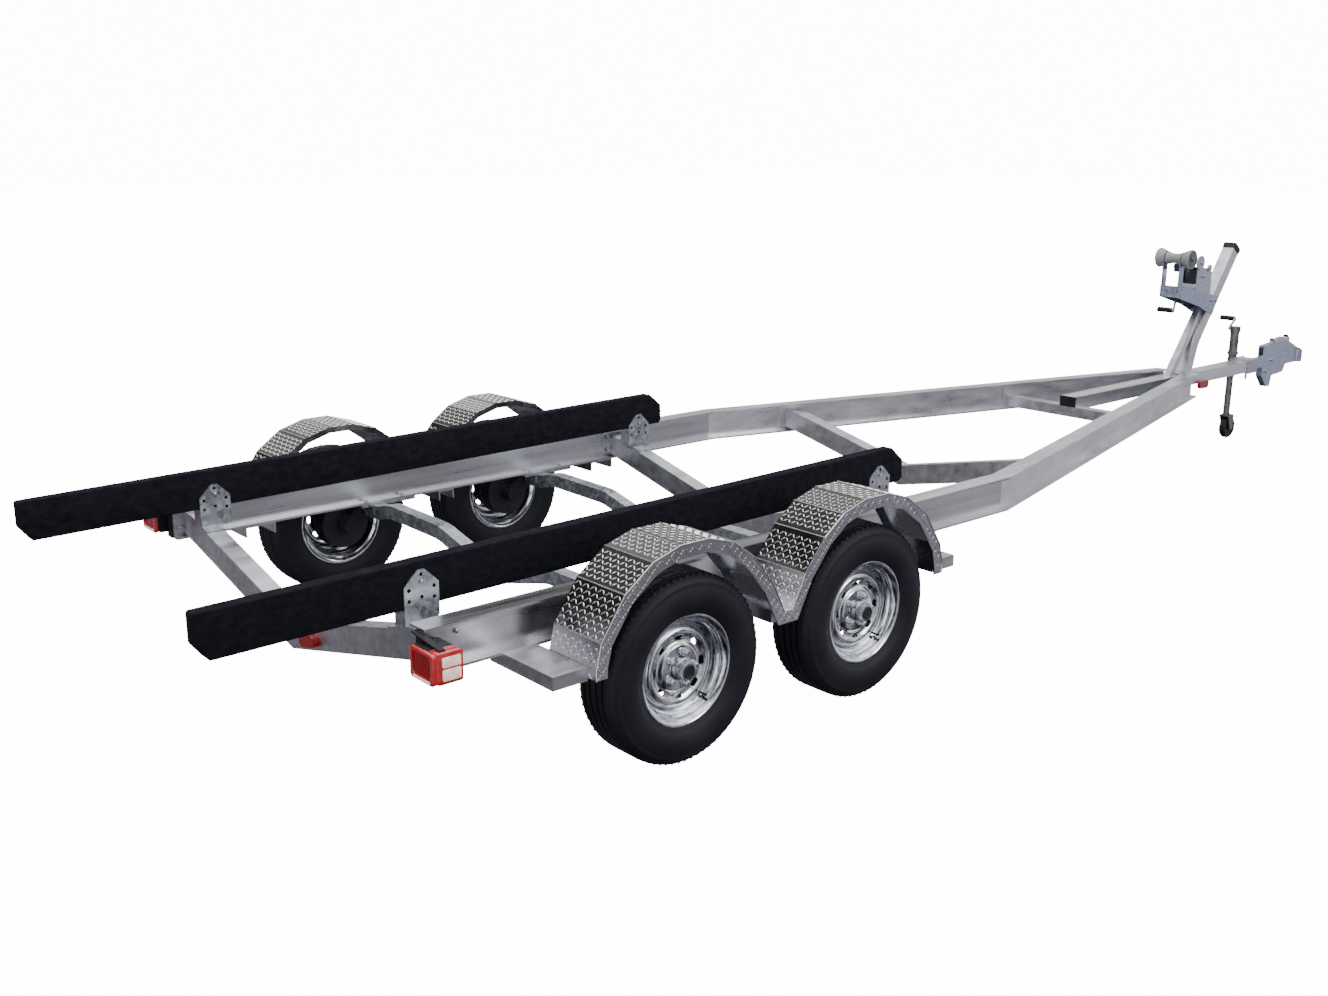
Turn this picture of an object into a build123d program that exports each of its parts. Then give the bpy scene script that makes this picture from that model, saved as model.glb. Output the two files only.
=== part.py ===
"""Tandem-axle aluminium boat trailer, parked on its tongue jack, load left out.

Millimetres. +X is forward, to the coupler; +Y is the left side; +Z is up. The ground is z = 0.
While a piece is drawn, x is measured from the rear wheels' centre. write() then moves every
piece back by MIDDLE_X, so that the origin is on the ground under the middle of the whole
trailer.
"""
from build123d import *
import math
import os

os.makedirs("parts", exist_ok=True)

# ---- Driving dimensions -------------------------------------------------------------------
REAR_END_X = -1463.0          # rear end of the bunks, from the rear wheels' centre
NOSE_X = 6996.0               # front of the coupler
MIDDLE_X = (REAR_END_X + NOSE_X) / 2
FIT = 0.3                     # gap between pieces that touch on curved or fitted faces

# Wheels and tyres
TYRE_R = 332.0
TYRE_W = 203.0
RIM_R = 195.5                 # outside of the rim flange
RIM_W = 168.0
RIM_T = 6.0
BEAD_R = 178.0
WELL_R = 160.0
AXLE_HALF = 1000.0            # half the length of an axle tube
WHEEL_REACH = 182.0           # from the tube's end to the middle plane of the tyre
WHEEL_Y = AXLE_HALF + WHEEL_REACH
AXLE_SPREAD = 889.0
VENT_COUNT = 8
VENT_R = 103.0
SPINDLE_R = 19.0
SPINDLE_GAP = 0.06
SPINDLE_Z = TYRE_R

# Side rails: I-beams with one bend
RAIL_TOP_Z = 597.0
RAIL_H = 152.0
RAIL_FLANGE_W = 86.0
RAIL_FLANGE_T = 9.0
RAIL_WEB_T = 7.0
RAIL_OUT_Y = 995.0
RAIL_REAR_X = -830.0
RAIL_BEND_X = 2143.0
RAIL_BEND_DEG = 15.0
RAIL_BOTTOM_Z = RAIL_TOP_Z - RAIL_H

# Crossmembers
MEMBER_W = 76.0
MEMBER_H = 100.0
END_PLATE_T = 8.0
END_PLATE_MARGIN = 40.0       # length of an end plate beyond each side of its member
V_SLOPE_DEG = 13.9
V_LOW_Z = 235.0
REAR_MEMBER_X = -752.0
MEMBER_LEAD = 588.0           # middle crossmember ahead of the front wheels
MIDDLE_MEMBER_X = AXLE_SPREAD + MEMBER_LEAD
DROP_MEMBER_X = 2638.0
DROP_SLOPE_DEG = 12.4
DROP_LOW_Z = 292.0
FRONT_MEMBER_X = 4148.0
FRONT_MEMBER_H = 60.0
FRONT_MEMBER_Z = 456.0
SADDLE_X = 5180.0
SADDLE_W = 90.0

# Tongue
TONGUE_W = 102.0
TONGUE_H = 76.0
TONGUE_Z = 500.0              # underside
TONGUE_FRONT_X = 6285.0
CAP_T = 8.0                   # rear end of the tongue

# Axles
AXLE_TUBE = 60.0
AXLE_LEAD = 98.0              # tube centre ahead of the wheel centre
AXLE_TOP_Z = 433.0            # at the ends
AXLE_BENDS = [                  # y, height above the ends; a gull's wing to clear the hull
    (0.0, -72.0), (385.0, 24.0), (AXLE_HALF - 215.0, 28.0), (AXLE_HALF - 120.0, 0.0),
]
AXLE_BEND_R = 260.0
SEAT_REACH = (60.0, 150.0)      # of the seat behind and ahead of the tube
SEAT_SINK = 1.5                 # weld between seat and tube
CHEEK_SHARE = 0.7               # of the tube's side that the seat's cheeks cover
ARM_T = 24.0
ARM_GAP = 3.0
ARM_R = 34.0
BACK_PLATE_R = 112.0
BACK_PLATE_T = 5.0
BACK_PLATE_IN = 124.0         # backing plate inside the tyre's middle plane
BACK_PLATE_Y = WHEEL_Y - BACK_PLATE_IN
SPINDLE_PAST = 48.0           # spindle beyond the middle plane of the tyre

# Fenders
FENDER_T = 5.0
FENDER_OUT_Y = WHEEL_Y + TYRE_W / 2 + FENDER_T + 6.5
FENDER_IN_Y = WHEEL_Y - TYRE_W / 2 - 30.5
SKIRT_H = 45.0
INNER_SKIRT_H = 25.0
FENDER_END_Z = 410.0
VALLEY_FLAT = 40.0            # length of the flat where the two arches meet
OUTRIGGER_W = 135.0
OUTRIGGER_H = 46.0
OUTRIGGER_END_Y = FENDER_OUT_Y - 45.0
OUTRIGGER_T = 6.0
VALLEY_ARM_W = 80.0

# Bunks
BUNK_LEN = 3090.0
BUNK_W = 52.0
BUNK_H = 152.0
BUNK_Y = 782.0
BUNK_REAR_Z = 590.0           # underside at the rear end
BUNK_PITCH_DEG = 0.75
PLATE_T = 6.0
PLATE_W = 127.0
PLATE_SHOULDER = 50.0
PLATE_TOP_FLAT = 26.0
BRACKET_TABLE = [               # member x, plate x, top of outer plates, top of inner plates
    (REAR_MEMBER_X, REAR_MEMBER_X + 26.0, 724.0, 694.0),
    (MIDDLE_MEMBER_X, MIDDLE_MEMBER_X, 718.0, 692.0),
]
FOOT_REACH = 54.0
FOOT_TAPER = 25.0             # from the foot up to a plate's full width
WEB_TOP_GAP = 3.0             # from a bracket's webs to the bunk
HOLE_TABLE = [                  # bracket holes from the plate's top middle: x, z
    (0, -16), (-46, -62), (46, -62), (0, -90), (-46, -98), (46, -98),
]
PLATE_HOLE_R = 6.5

# Lamps
LAMP_L = 108.0
LAMP_W = 130.0
LAMP_H = 105.0
LAMP_Z = 460.0
LAMP_OVERHANG = 55.0          # behind the rail's end
LAMP_CORNER_R = 14.0
BACKING_INSET = 14.0          # plate in front of a lamp, inside the lamp's outline
HOOD_T = 5.0
HOOD_DEPTH = 22.0             # along the trailer, behind the rail's end
HOOD_IN = (952.0, 589.0)      # y and z of the hood's inner and outer edges
HOOD_OUT = (1112.0, 570.0)
REAR_MARK = (110.0, 44.0, 24.0)     # width, height, depth
REAR_MARK_YZ = (-155.0, 312.0)
MARKER = (110.0, 50.0, 22.0)  # length, height, depth
MARKER_X = 5550.0
MARKER_Z = 491.0

# Winch mast
MAST = 76.0
MAST_BASE_X = 5392.0
MAST_KNEE = (5446.0, 770.0)
MAST_TOP = (5850.0, 1335.0)
MAST_BEND_R = 320.0
MAST_CAP_T = 24.0
MAST_FOOT = (110.0, 80.0, 8.0)      # behind the base, ahead of it, thickness
BRACE = 42.0
BRACE_BASE_X = 5215.0
BRACE_TOP = (5560.0, 1035.0)

# Winch carriage, in x and z
CARRIAGE_W = 122.0
CARRIAGE_T = 6.0
CARRIAGE_SIDE = [
    (5122, 1148), (5622, 1053), (5600, 985), (5575, 934), (5400, 1004), (5122, 1078),
]
POST_W = 50.0
POST_Y = 55.0
ROLLER_X = 5168.0
ROLLER_Z = 1312.0
ROLLER_W = 222.0
ROLLER_PIN_R = 9.0
WINCH_FOOT_X = (5350.0, 5538.0)
WINCH_TOP = [(5530, 1212), (5506, 1236), (5352, 1250)]
WINCH_W = 104.0
WINCH_BASE_T = 24.0
GEAR = (5378.0, 1276.0, 43.0)       # large gear outside the right plate: x, z, radius
PINION = (5496.0, 1238.0, 22.0)
GEAR_T = 6.0
DRUM_X = 5428.0
DRUM_Z = 1190.0
DRUM_R = 30.0
STRAP_R = 54.0
CRANK_Y = 126.0
CRANK_SHAFT = (5488.0, 1196.0)
CRANK_END = (5434.0, 957.0)
CRANK_R = 7.0
GRIP_L = 104.0
GRIP_R = 14.0

# Tongue jack
JACK_X = 6290.0
JACK_Y = 132.0
JACK_PIVOT_Z = 538.0
JACK_TUBE_R = 29.0
JACK_TUBE_LOW_Z = 440.0
JACK_TUBE_TOP_Z = 745.0
JACK_LEG_R = 22.0
JACK_LEG_TOP_Z = 560.0
JACK_HEAD_R = 34.0
JACK_HEAD_H = 34.0
JACK_CRANK_DX = 80.0          # grip from the crank's shaft, forward and up
JACK_CRANK_DZ = 60.0
JACK_WHEEL_R = 76.0
JACK_WHEEL_W = 44.0
JACK_TRAIL = 30.0
JACK_COLLAR_Z = 590.0
FORK_T = 5.0
FORK_GAP = 6.0
JACK_PIN_R = 6.0

# Coupler
SLEEVE_X = (6150.0, 6275.0)
SLEEVE_T = 8.0
COUPLER_HALF = 21.0           # half the width of the body behind the ball
HEAD_R = 42.0
BALL_X = NOSE_X - HEAD_R
BALL_FACE_Z = 492.0
BALL_R = 29.7
BALL_DEPTH = 48.0
BODY_REAR_X = 6427.0          # rear face of the tall part, ahead of the shank
BODY_SLOT = (70.0, 14.0, 582.0, 632.0)      # depth, half width, low and high edges
CAP_X = 6562.0                # filler cap on the body's top
CAP_R = 12.0
CAP_TOP_Z = 680.0
HANGER_R = 8.0                # bolt under the sleeve
HANGER_Z = 438.0


def write(node, *solids):
    """Move the pieces to the trailer's own origin and write them as one file."""
    shapes = []
    for item in solids:
        shapes.extend(item.solids())
    moved = [Pos(-MIDDLE_X, 0, 0) * shape for shape in shapes]
    body = moved[0] if len(moved) == 1 else Compound(children=moved)
    export_step(body, f"parts/{node}.step")


def block(x0, x1, y0, y1, z0, z1):
    """A box between two corners."""
    return Pos((x0 + x1) / 2, (y0 + y1) / 2, (z0 + z1) / 2) * Box(x1 - x0, y1 - y0, z1 - z0)


def rod(x, y, z, radius, length, along):
    """A round bar that starts at a point and runs along an axis."""
    turn = {"x": Rot(0, 90, 0), "y": Rot(-90, 0, 0), "z": Rot(0, 0, 0)}[along]
    bar = Cylinder(radius, length, align=(Align.CENTER, Align.CENTER, Align.MIN))
    return Pos(x, y, z) * turn * bar


def side_plate(points, y0, y1):
    """An outline in x and z, thick from y0 to y1."""
    face = make_face(Polyline(*[(x, 0, z) for x, z in points], close=True))
    return Pos(0, y0, 0) * extrude(face, amount=y1 - y0, dir=(0, 1, 0))


def cross_plate(points, x0, x1):
    """An outline in y and z, thick from x0 to x1."""
    face = make_face(Polyline(*[(0, y, z) for y, z in points], close=True))
    return Pos(x0, 0, 0) * extrude(face, amount=x1 - x0, dir=(1, 0, 0))


def plan_plate(points, z0, z1):
    """An outline in x and y, thick from z0 to z1."""
    face = make_face(Polyline(*[(x, y, 0) for x, y in points], close=True))
    return Pos(0, 0, z0) * extrude(face, amount=z1 - z0, dir=(0, 0, 1))


def mirrored(shape):
    return shape.mirror(Plane.XZ)


def spun(points):
    """Turn an outline of radius and outward distance about the wheel's axis, outward = +Y."""
    face = make_face(Polyline(*[(r, a, 0) for r, a in points], close=True))
    return revolve(face, Axis.Y, 360)


# ---- Rails --------------------------------------------------------------------------------
BEND = math.radians(RAIL_BEND_DEG)
MITRE = math.tan(BEND / 2)
WEB_Y = RAIL_OUT_Y - RAIL_FLANGE_W / 2


def rail_edge(inset):
    """Plan points of a line inside the rail's outer edge: rear end, bend, and a front point."""
    y = RAIL_OUT_Y - inset
    bend_x = RAIL_BEND_X - inset * MITRE
    return y, bend_x


def rail_y(x, inset):
    """Distance from the middle of the trailer to that line at a place along it."""
    y, bend_x = rail_edge(inset)
    return y - max(0.0, x - bend_x) * math.tan(BEND)


# The rails stop where the inner edges of their flanges meet the sides of the tongue.
inner_y, inner_bend_x = rail_edge(RAIL_FLANGE_W)
RAIL_FRONT_X = inner_bend_x + (inner_y - TONGUE_W / 2 - 1.0) / math.tan(BEND)


def rail_strip(inset0, inset1, x0=RAIL_REAR_X, x1=RAIL_FRONT_X):
    """Plan outline of a strip between two lines of the left rail."""
    outer = [(x0, rail_y(x0, inset0)), (rail_edge(inset0)[1], rail_edge(inset0)[0])]
    outer.append((x1, rail_y(x1, inset0)))
    inner = [(x1, rail_y(x1, inset1)), (rail_edge(inset1)[1], rail_edge(inset1)[0])]
    inner.append((x0, rail_y(x0, inset1)))
    return outer + inner


def make_rail():
    half = RAIL_FLANGE_W / 2
    low = plan_plate(rail_strip(0, RAIL_FLANGE_W), RAIL_BOTTOM_Z, RAIL_BOTTOM_Z + RAIL_FLANGE_T)
    top = plan_plate(rail_strip(0, RAIL_FLANGE_W), RAIL_TOP_Z - RAIL_FLANGE_T, RAIL_TOP_Z)
    web_strip = rail_strip(half - RAIL_WEB_T / 2, half + RAIL_WEB_T / 2)
    web = plan_plate(web_strip, RAIL_BOTTOM_Z, RAIL_TOP_Z)
    return low + web + top


rail_left = make_rail()
write("rail_left", rail_left)
write("rail_right", mirrored(rail_left))

# ---- Crossmembers -------------------------------------------------------------------------
WEB_INSET = RAIL_FLANGE_W / 2 + RAIL_WEB_T / 2     # inner face of the web


def bay(x0, x1, gap):
    """The space between the rails' webs, less a gap on each side."""
    left = [(x0, rail_y(x0, WEB_INSET) - gap), (x1, rail_y(x1, WEB_INSET) - gap)]
    right = [(x, -y) for x, y in reversed(left)]
    return plan_plate(left + right, 0, RAIL_TOP_Z)


def end_plates(x):
    """Plates on the webs, between the flanges, where a crossmember ends.

    The rearmost pair runs on to the rails' rear ends.
    """
    x0 = x - MEMBER_W / 2 - END_PLATE_MARGIN
    x1 = x + MEMBER_W / 2 + END_PLATE_MARGIN
    if x == REAR_MEMBER_X:
        x0 = RAIL_REAR_X
    outline = [
        (x0, rail_y(x0, WEB_INSET)),
        (x1, rail_y(x1, WEB_INSET)),
        (x1, rail_y(x1, WEB_INSET) - END_PLATE_T),
        (x0, rail_y(x0, WEB_INSET) - END_PLATE_T),
    ]
    low = RAIL_BOTTOM_Z + RAIL_FLANGE_T
    plate = plan_plate(outline, low, RAIL_TOP_Z - RAIL_FLANGE_T)
    return plate, mirrored(plate)


def v_member(x, low_z, slope_deg):
    """A tube that drops to a V in the middle, cut to fit between the end plates."""
    slope = math.tan(math.radians(slope_deg))
    rise = MEMBER_H / math.cos(math.radians(slope_deg))
    reach = RAIL_OUT_Y
    outline = [(-reach, low_z + slope * reach), (0, low_z), (reach, low_z + slope * reach)]
    outline += [(y, z + rise) for y, z in reversed(outline)]
    x0, x1 = x - MEMBER_W / 2, x + MEMBER_W / 2
    bar = cross_plate(outline, x0, x1) & bay(x0 - 1, x1 + 1, END_PLATE_T / 2)
    left, right = end_plates(x)
    return bar + left + right


MEMBERS = [                     # node, x, lowest z, slope in degrees
    ("crossmember_rear", REAR_MEMBER_X, V_LOW_Z, V_SLOPE_DEG),
    ("crossmember_middle", MIDDLE_MEMBER_X, V_LOW_Z, V_SLOPE_DEG),
    ("crossmember_drop", DROP_MEMBER_X, DROP_LOW_Z, DROP_SLOPE_DEG),
]
for node, member_x, low_z, slope_deg in MEMBERS:
    write(node, v_member(member_x, low_z, slope_deg))

front_x0 = FRONT_MEMBER_X - MEMBER_W / 2
front_x1 = FRONT_MEMBER_X + MEMBER_W / 2
front_top_z = FRONT_MEMBER_Z + FRONT_MEMBER_H
front_bar = block(front_x0, front_x1, -RAIL_OUT_Y, RAIL_OUT_Y, FRONT_MEMBER_Z, front_top_z)
front_bar = front_bar & bay(front_x0 - 1, front_x1 + 1, END_PLATE_T / 2)
front_left, front_right = end_plates(FRONT_MEMBER_X)
front_member = front_bar + front_left + front_right

# The saddle lies on the rails' lower flanges and carries the tongue.
saddle_x0, saddle_x1 = SADDLE_X - SADDLE_W / 2, SADDLE_X + SADDLE_W / 2
saddle_low = RAIL_BOTTOM_Z + RAIL_FLANGE_T
saddle = block(saddle_x0, saddle_x1, -RAIL_OUT_Y, RAIL_OUT_Y, saddle_low, TONGUE_Z)
saddle = saddle & bay(saddle_x0 - 1, saddle_x1 + 1, 0)
write("crossmembers_front", front_member, saddle)

# ---- Tongue -------------------------------------------------------------------------------
TONGUE_TOP_Z = TONGUE_Z + TONGUE_H
tongue = block(front_x0, TONGUE_FRONT_X, -TONGUE_W / 2, TONGUE_W / 2, TONGUE_Z, TONGUE_TOP_Z)
notch = block(front_x0 - 1, front_x1, -TONGUE_W, TONGUE_W, TONGUE_Z - 1, front_top_z)
write("tongue_tube", tongue - notch)

# ---- Axles --------------------------------------------------------------------------------
REAR_AXLE_X = AXLE_LEAD
FRONT_AXLE_X = AXLE_SPREAD + AXLE_LEAD


def axle_tube(x):
    """A square tube bent like a gull's wings, with a seat under each rail."""
    mid_z = AXLE_TOP_Z - AXLE_TUBE / 2
    half = [(x, y, mid_z + up) for y, up in AXLE_BENDS] + [(x, AXLE_HALF, mid_z)]
    other = [(x, -y, z) for x, y, z in reversed(half[1:])]
    path = FilletPolyline(*other, *half, radius=AXLE_BEND_R)
    start = Plane(origin=path @ 0, z_dir=path % 0, x_dir=(1, 0, 0))
    bar = sweep(start * Rectangle(AXLE_TUBE, AXLE_TUBE), path)
    behind, ahead = SEAT_REACH
    seat_x0, seat_x1 = x - AXLE_TUBE / 2 - behind, x + AXLE_TUBE / 2 + ahead
    inner = RAIL_OUT_Y - RAIL_FLANGE_W
    seat = block(seat_x0, seat_x1, inner, RAIL_OUT_Y, AXLE_TOP_Z - SEAT_SINK,
                 RAIL_BOTTOM_Z)
    for cheek_x in (x - AXLE_TUBE / 2 - PLATE_T, x + AXLE_TUBE / 2):
        low_z = AXLE_TOP_Z - AXLE_TUBE * CHEEK_SHARE
        seat += block(cheek_x, cheek_x + PLATE_T, inner, RAIL_OUT_Y, low_z, RAIL_BOTTOM_Z)
    return bar + seat + mirrored(seat)


def torsion_arm(x):
    """Trailing arm, spindle and brake backing plate on the left end of an axle tube."""
    tube_z = AXLE_TOP_Z - AXLE_TUBE / 2
    arm_y0 = AXLE_HALF + ARM_GAP
    arm_y1 = arm_y0 + ARM_T
    a, b = (x, tube_z), (x - AXLE_LEAD, SPINDLE_Z)
    run = math.dist(a, b)
    ux, uz = (b[0] - a[0]) / run, (b[1] - a[1]) / run
    nx, nz = -uz * ARM_R, ux * ARM_R
    sides = [(a[0] + nx, a[1] + nz), (b[0] + nx, b[1] + nz), (b[0] - nx, b[1] - nz)]
    sides.append((a[0] - nx, a[1] - nz))
    arm = side_plate(sides, arm_y0, arm_y1)
    for px, pz in (a, b):
        arm += rod(px, arm_y0, pz, ARM_R, ARM_T, "y")
    arm += rod(a[0], AXLE_HALF, a[1], 24, ARM_GAP + 1, "y")
    spindle_end = WHEEL_Y + SPINDLE_PAST
    arm += rod(b[0], arm_y1 - 1, b[1], SPINDLE_R, spindle_end - arm_y1 + 1, "y")
    arm += rod(b[0], arm_y1 - 1, b[1], 40, BACK_PLATE_Y - arm_y1 + 2, "y")
    arm += rod(b[0], BACK_PLATE_Y, b[1], BACK_PLATE_R, BACK_PLATE_T, "y")
    return arm


arms = []
for axle_x in (REAR_AXLE_X, FRONT_AXLE_X):
    left_arm = torsion_arm(axle_x)
    arms += [left_arm, mirrored(left_arm)]
write("axles", axle_tube(REAR_AXLE_X), axle_tube(FRONT_AXLE_X))
write("torsion_arms", *arms)

# ---- Wheels -------------------------------------------------------------------------------
HALF_RIM = RIM_W / 2
RIM_OUTSIDE = [                 # radius, distance from the middle plane
    (RIM_R, HALF_RIM), (RIM_R, HALF_RIM - 5), (BEAD_R, HALF_RIM - 12),
    (BEAD_R - 1, 48), (WELL_R, 34), (WELL_R, -30), (BEAD_R - 1, -48),
    (BEAD_R, -HALF_RIM + 12), (RIM_R, -HALF_RIM + 5), (RIM_R, -HALF_RIM),
]
RIM_INSIDE = [
    (187, -HALF_RIM), (BEAD_R - RIM_T, -HALF_RIM + 10), (WELL_R - RIM_T, -36),
    (WELL_R - RIM_T, 38), (BEAD_R - RIM_T, HALF_RIM - 10), (187, HALF_RIM),
]
DISC_FACE = [                   # front of the disc: radius, distance from the middle plane
    (WELL_R - RIM_T + 1, 26), (146, 42), (126, 48), (113, 38), (93, 34), (80, 46), (41, 46),
]
DISC_T = 7.0
HUB_FLANGE_A = 46 - DISC_T      # back of the disc at the middle
TYRE_SIDE = [                   # radius, distance from the middle plane, bead to tread
    (BEAD_R + FIT, 70), (196.5, 77.5), (199, 86), (225, 98), (258, TYRE_W / 2),
    (312, 93), (TYRE_R, 70),
]


def make_rim():
    barrel = spun(RIM_OUTSIDE + RIM_INSIDE)
    back = [(r, a - DISC_T) for r, a in reversed(DISC_FACE)]
    disc = spun(DISC_FACE + back)
    hole = extrude(SlotOverall(34, 17), amount=60)
    for i in range(VENT_COUNT):
        turn = Rot(0, 360 * i / VENT_COUNT, 0)
        disc -= turn * Pos(0, 20, VENT_R) * Rot(-90, 0, 0) * hole
    return barrel + disc


def make_tyre():
    return spun(TYRE_SIDE + [(r, -a) for r, a in reversed(TYRE_SIDE)])


def make_hub():
    """Brake drum, hub and dust cap, bored for the spindle."""
    bore = SPINDLE_R + SPINDLE_GAP
    inner_a = BACK_PLATE_Y + BACK_PLATE_T - WHEEL_Y + 6
    outline = [
        (bore, inner_a), (115, inner_a), (118, inner_a + 8), (118, -62), (112, -56),
        (46, -56), (44, -10), (44, 24), (72, 24), (72, HUB_FLANGE_A), (38, HUB_FLANGE_A),
        (38, 68), (33, 78), (33, 92), (28, 97), (0, 97), (0, SPINDLE_PAST + 4),
        (bore, SPINDLE_PAST + 4),
    ]
    return spun(outline)


WHEELS = [                      # name, x, side
    ("rear_left", 0.0, 1), ("rear_right", 0.0, -1),
    ("front_left", AXLE_SPREAD, 1), ("front_right", AXLE_SPREAD, -1),
]
rim, tyre, hub = make_rim(), make_tyre(), make_hub()
for name, wheel_x, side in WHEELS:
    for kind, shape in (("wheel_rim", rim), ("tyre", tyre), ("hub", hub)):
        turned = shape if side > 0 else mirrored(shape)
        write(f"{kind}_{name}", Pos(wheel_x, side * WHEEL_Y, SPINDLE_Z) * turned)

# ---- Fenders ------------------------------------------------------------------------------
ARCH = [                        # rear half of the skin's outside: x, z
    (-405.0, FENDER_END_Z), (-405, 446), (-385, 530), (-290, 668), (-175, 750),
    (-60, 784), (60, 784), (175, 750), (270, 680), (365, 566),
]
VALLEY_X = AXLE_SPREAD / 2


def arch_line(drop):
    """The facets of the skin, moved inwards by a distance square to each."""
    half = ARCH + [(VALLEY_X - VALLEY_FLAT / 2, RAIL_BOTTOM_Z + FENDER_T)]
    line = half + [(2 * VALLEY_X - x, z) for x, z in reversed(half)]
    moved = []
    for i, (x, z) in enumerate(line):
        before = line[max(i - 1, 0)]
        after = line[min(i + 1, len(line) - 1)]
        first = (x - before[0], z - before[1]) if i else (after[0] - x, after[1] - z)
        second = (after[0] - x, after[1] - z) if i < len(line) - 1 else first
        n1, n2 = unit_normal(first), unit_normal(second)
        scale = drop / (1 + n1[0] * n2[0] + n1[1] * n2[1])
        moved.append((x + (n1[0] + n2[0]) * scale, z + (n1[1] + n2[1]) * scale))
    return moved


def unit_normal(run):
    size = math.hypot(*run)
    return run[1] / size, -run[0] / size


def make_fender():
    outside = arch_line(0)
    skin = side_plate(outside + arch_line(FENDER_T)[::-1], FENDER_IN_Y, FENDER_OUT_Y)
    skirt = side_plate(
        outside + arch_line(SKIRT_H)[::-1], FENDER_OUT_Y - FENDER_T, FENDER_OUT_Y
    )
    rim_in = side_plate(
        outside + arch_line(INNER_SKIRT_H)[::-1], FENDER_IN_Y, FENDER_IN_Y + FENDER_T
    )
    seat = block(VALLEY_X - VALLEY_ARM_W / 2 - FIT, VALLEY_X + VALLEY_ARM_W / 2 + FIT,
                 FENDER_IN_Y - 1, OUTRIGGER_END_Y, 0, RAIL_BOTTOM_Z)
    return skin + skirt + rim_in - seat


fender = make_fender()
write("fenders", fender, mirrored(fender))


def outrigger(x0, x1):
    """A downward-open channel from under the rail out to the fender, closed at its end."""
    top_z = RAIL_BOTTOM_Z
    inner = RAIL_OUT_Y - RAIL_FLANGE_W
    shell = block(x0, x1, inner, OUTRIGGER_END_Y, top_z - OUTRIGGER_H, top_z)
    low = top_z - OUTRIGGER_H - 1
    hollow = block(
        x0 + OUTRIGGER_T, x1 - OUTRIGGER_T, inner - 1, OUTRIGGER_END_Y - OUTRIGGER_T,
        low, top_z - OUTRIGGER_T,
    )
    return shell - hollow


rear_edge = ARCH[0][0]
front_edge = 2 * VALLEY_X - rear_edge
riggers = [
    outrigger(rear_edge - OUTRIGGER_W, rear_edge),
    outrigger(front_edge, front_edge + OUTRIGGER_W),
    outrigger(VALLEY_X - VALLEY_ARM_W / 2, VALLEY_X + VALLEY_ARM_W / 2),
]
write("fender_outriggers", *riggers, *[mirrored(item) for item in riggers])

# ---- Bunks and their brackets -------------------------------------------------------------
PITCH = math.tan(math.radians(BUNK_PITCH_DEG))


def bunk_low_z(x):
    return BUNK_REAR_Z + (x - REAR_END_X) * PITCH


def make_bunk():
    x0, x1 = REAR_END_X, REAR_END_X + BUNK_LEN
    corners = [                 # x, height above the underside's line
        (x0 + 42, 0), (x1 - 14, 0), (x1, 14), (x1, BUNK_H - 60), (x1 - 70, BUNK_H),
        (x0 + 6, BUNK_H), (x0, BUNK_H - 6), (x0, 55),
    ]
    outline = [(x, bunk_low_z(x) + up) for x, up in corners]
    return side_plate(outline, BUNK_Y - BUNK_W / 2, BUNK_Y + BUNK_W / 2)


bunk = make_bunk()
write("bunks", bunk, mirrored(bunk))


def bracket_plate(member_x, x, y0, y1, foot_y, top_z):
    """A tall plate with six holes, on a foot that lies along the crossmember."""
    slope = math.tan(math.radians(V_SLOPE_DEG))
    rise = MEMBER_H / math.cos(math.radians(V_SLOPE_DEG))
    low = V_LOW_Z + rise + slope * min(y0, y1, foot_y)
    half = PLATE_W / 2
    foot_x0, foot_x1 = member_x - MEMBER_W / 2, member_x + MEMBER_W / 2
    outline = [
        (foot_x0, low - 1), (foot_x1, low - 1), (x + half, low + FOOT_TAPER),
        (x + half, top_z - PLATE_SHOULDER), (x + PLATE_TOP_FLAT / 2, top_z),
        (x - PLATE_TOP_FLAT / 2, top_z), (x - half, top_z - PLATE_SHOULDER),
        (x - half, low + FOOT_TAPER),
    ]
    plate = side_plate(outline, y0, y1)
    for dx, dz in HOLE_TABLE:
        plate -= rod(x + dx, y0 - 1, top_z + dz, PLATE_HOLE_R, PLATE_T + 2, "y")
    ya, yb = sorted((foot_y, y0 if foot_y < y0 else y1))
    foot_line = [(y, V_LOW_Z + rise + slope * y) for y in (ya, yb)]
    foot_line += [(y, z + PLATE_T) for y, z in reversed(foot_line)]
    foot = cross_plate(foot_line, foot_x0, foot_x1)
    under_line = [(0, V_LOW_Z), (RAIL_OUT_Y, V_LOW_Z + slope * RAIL_OUT_Y)]
    under_line += [(RAIL_OUT_Y, V_LOW_Z + rise + slope * RAIL_OUT_Y), (0, V_LOW_Z + rise)]
    under = cross_plate(under_line, min(foot_x0, x - half) - 1, max(foot_x1, x + half) + 1)
    return plate + foot - under


def bracket_webs(x, in_y, out_y):
    """The two plates that close a bracket's ends, from the crossmember up to the bunk."""
    slope = math.tan(math.radians(V_SLOPE_DEG))
    top = V_LOW_Z + MEMBER_H / math.cos(math.radians(V_SLOPE_DEG))
    webs = []
    for x0 in (x - PLATE_W / 2, x + PLATE_W / 2 - PLATE_T):
        high = bunk_low_z(x0) - WEB_TOP_GAP
        outline = [(in_y, top + slope * in_y), (out_y, top + slope * out_y),
                   (out_y, high), (in_y, high)]
        webs.append(cross_plate(outline, x0, x0 + PLATE_T))
    return webs


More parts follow.
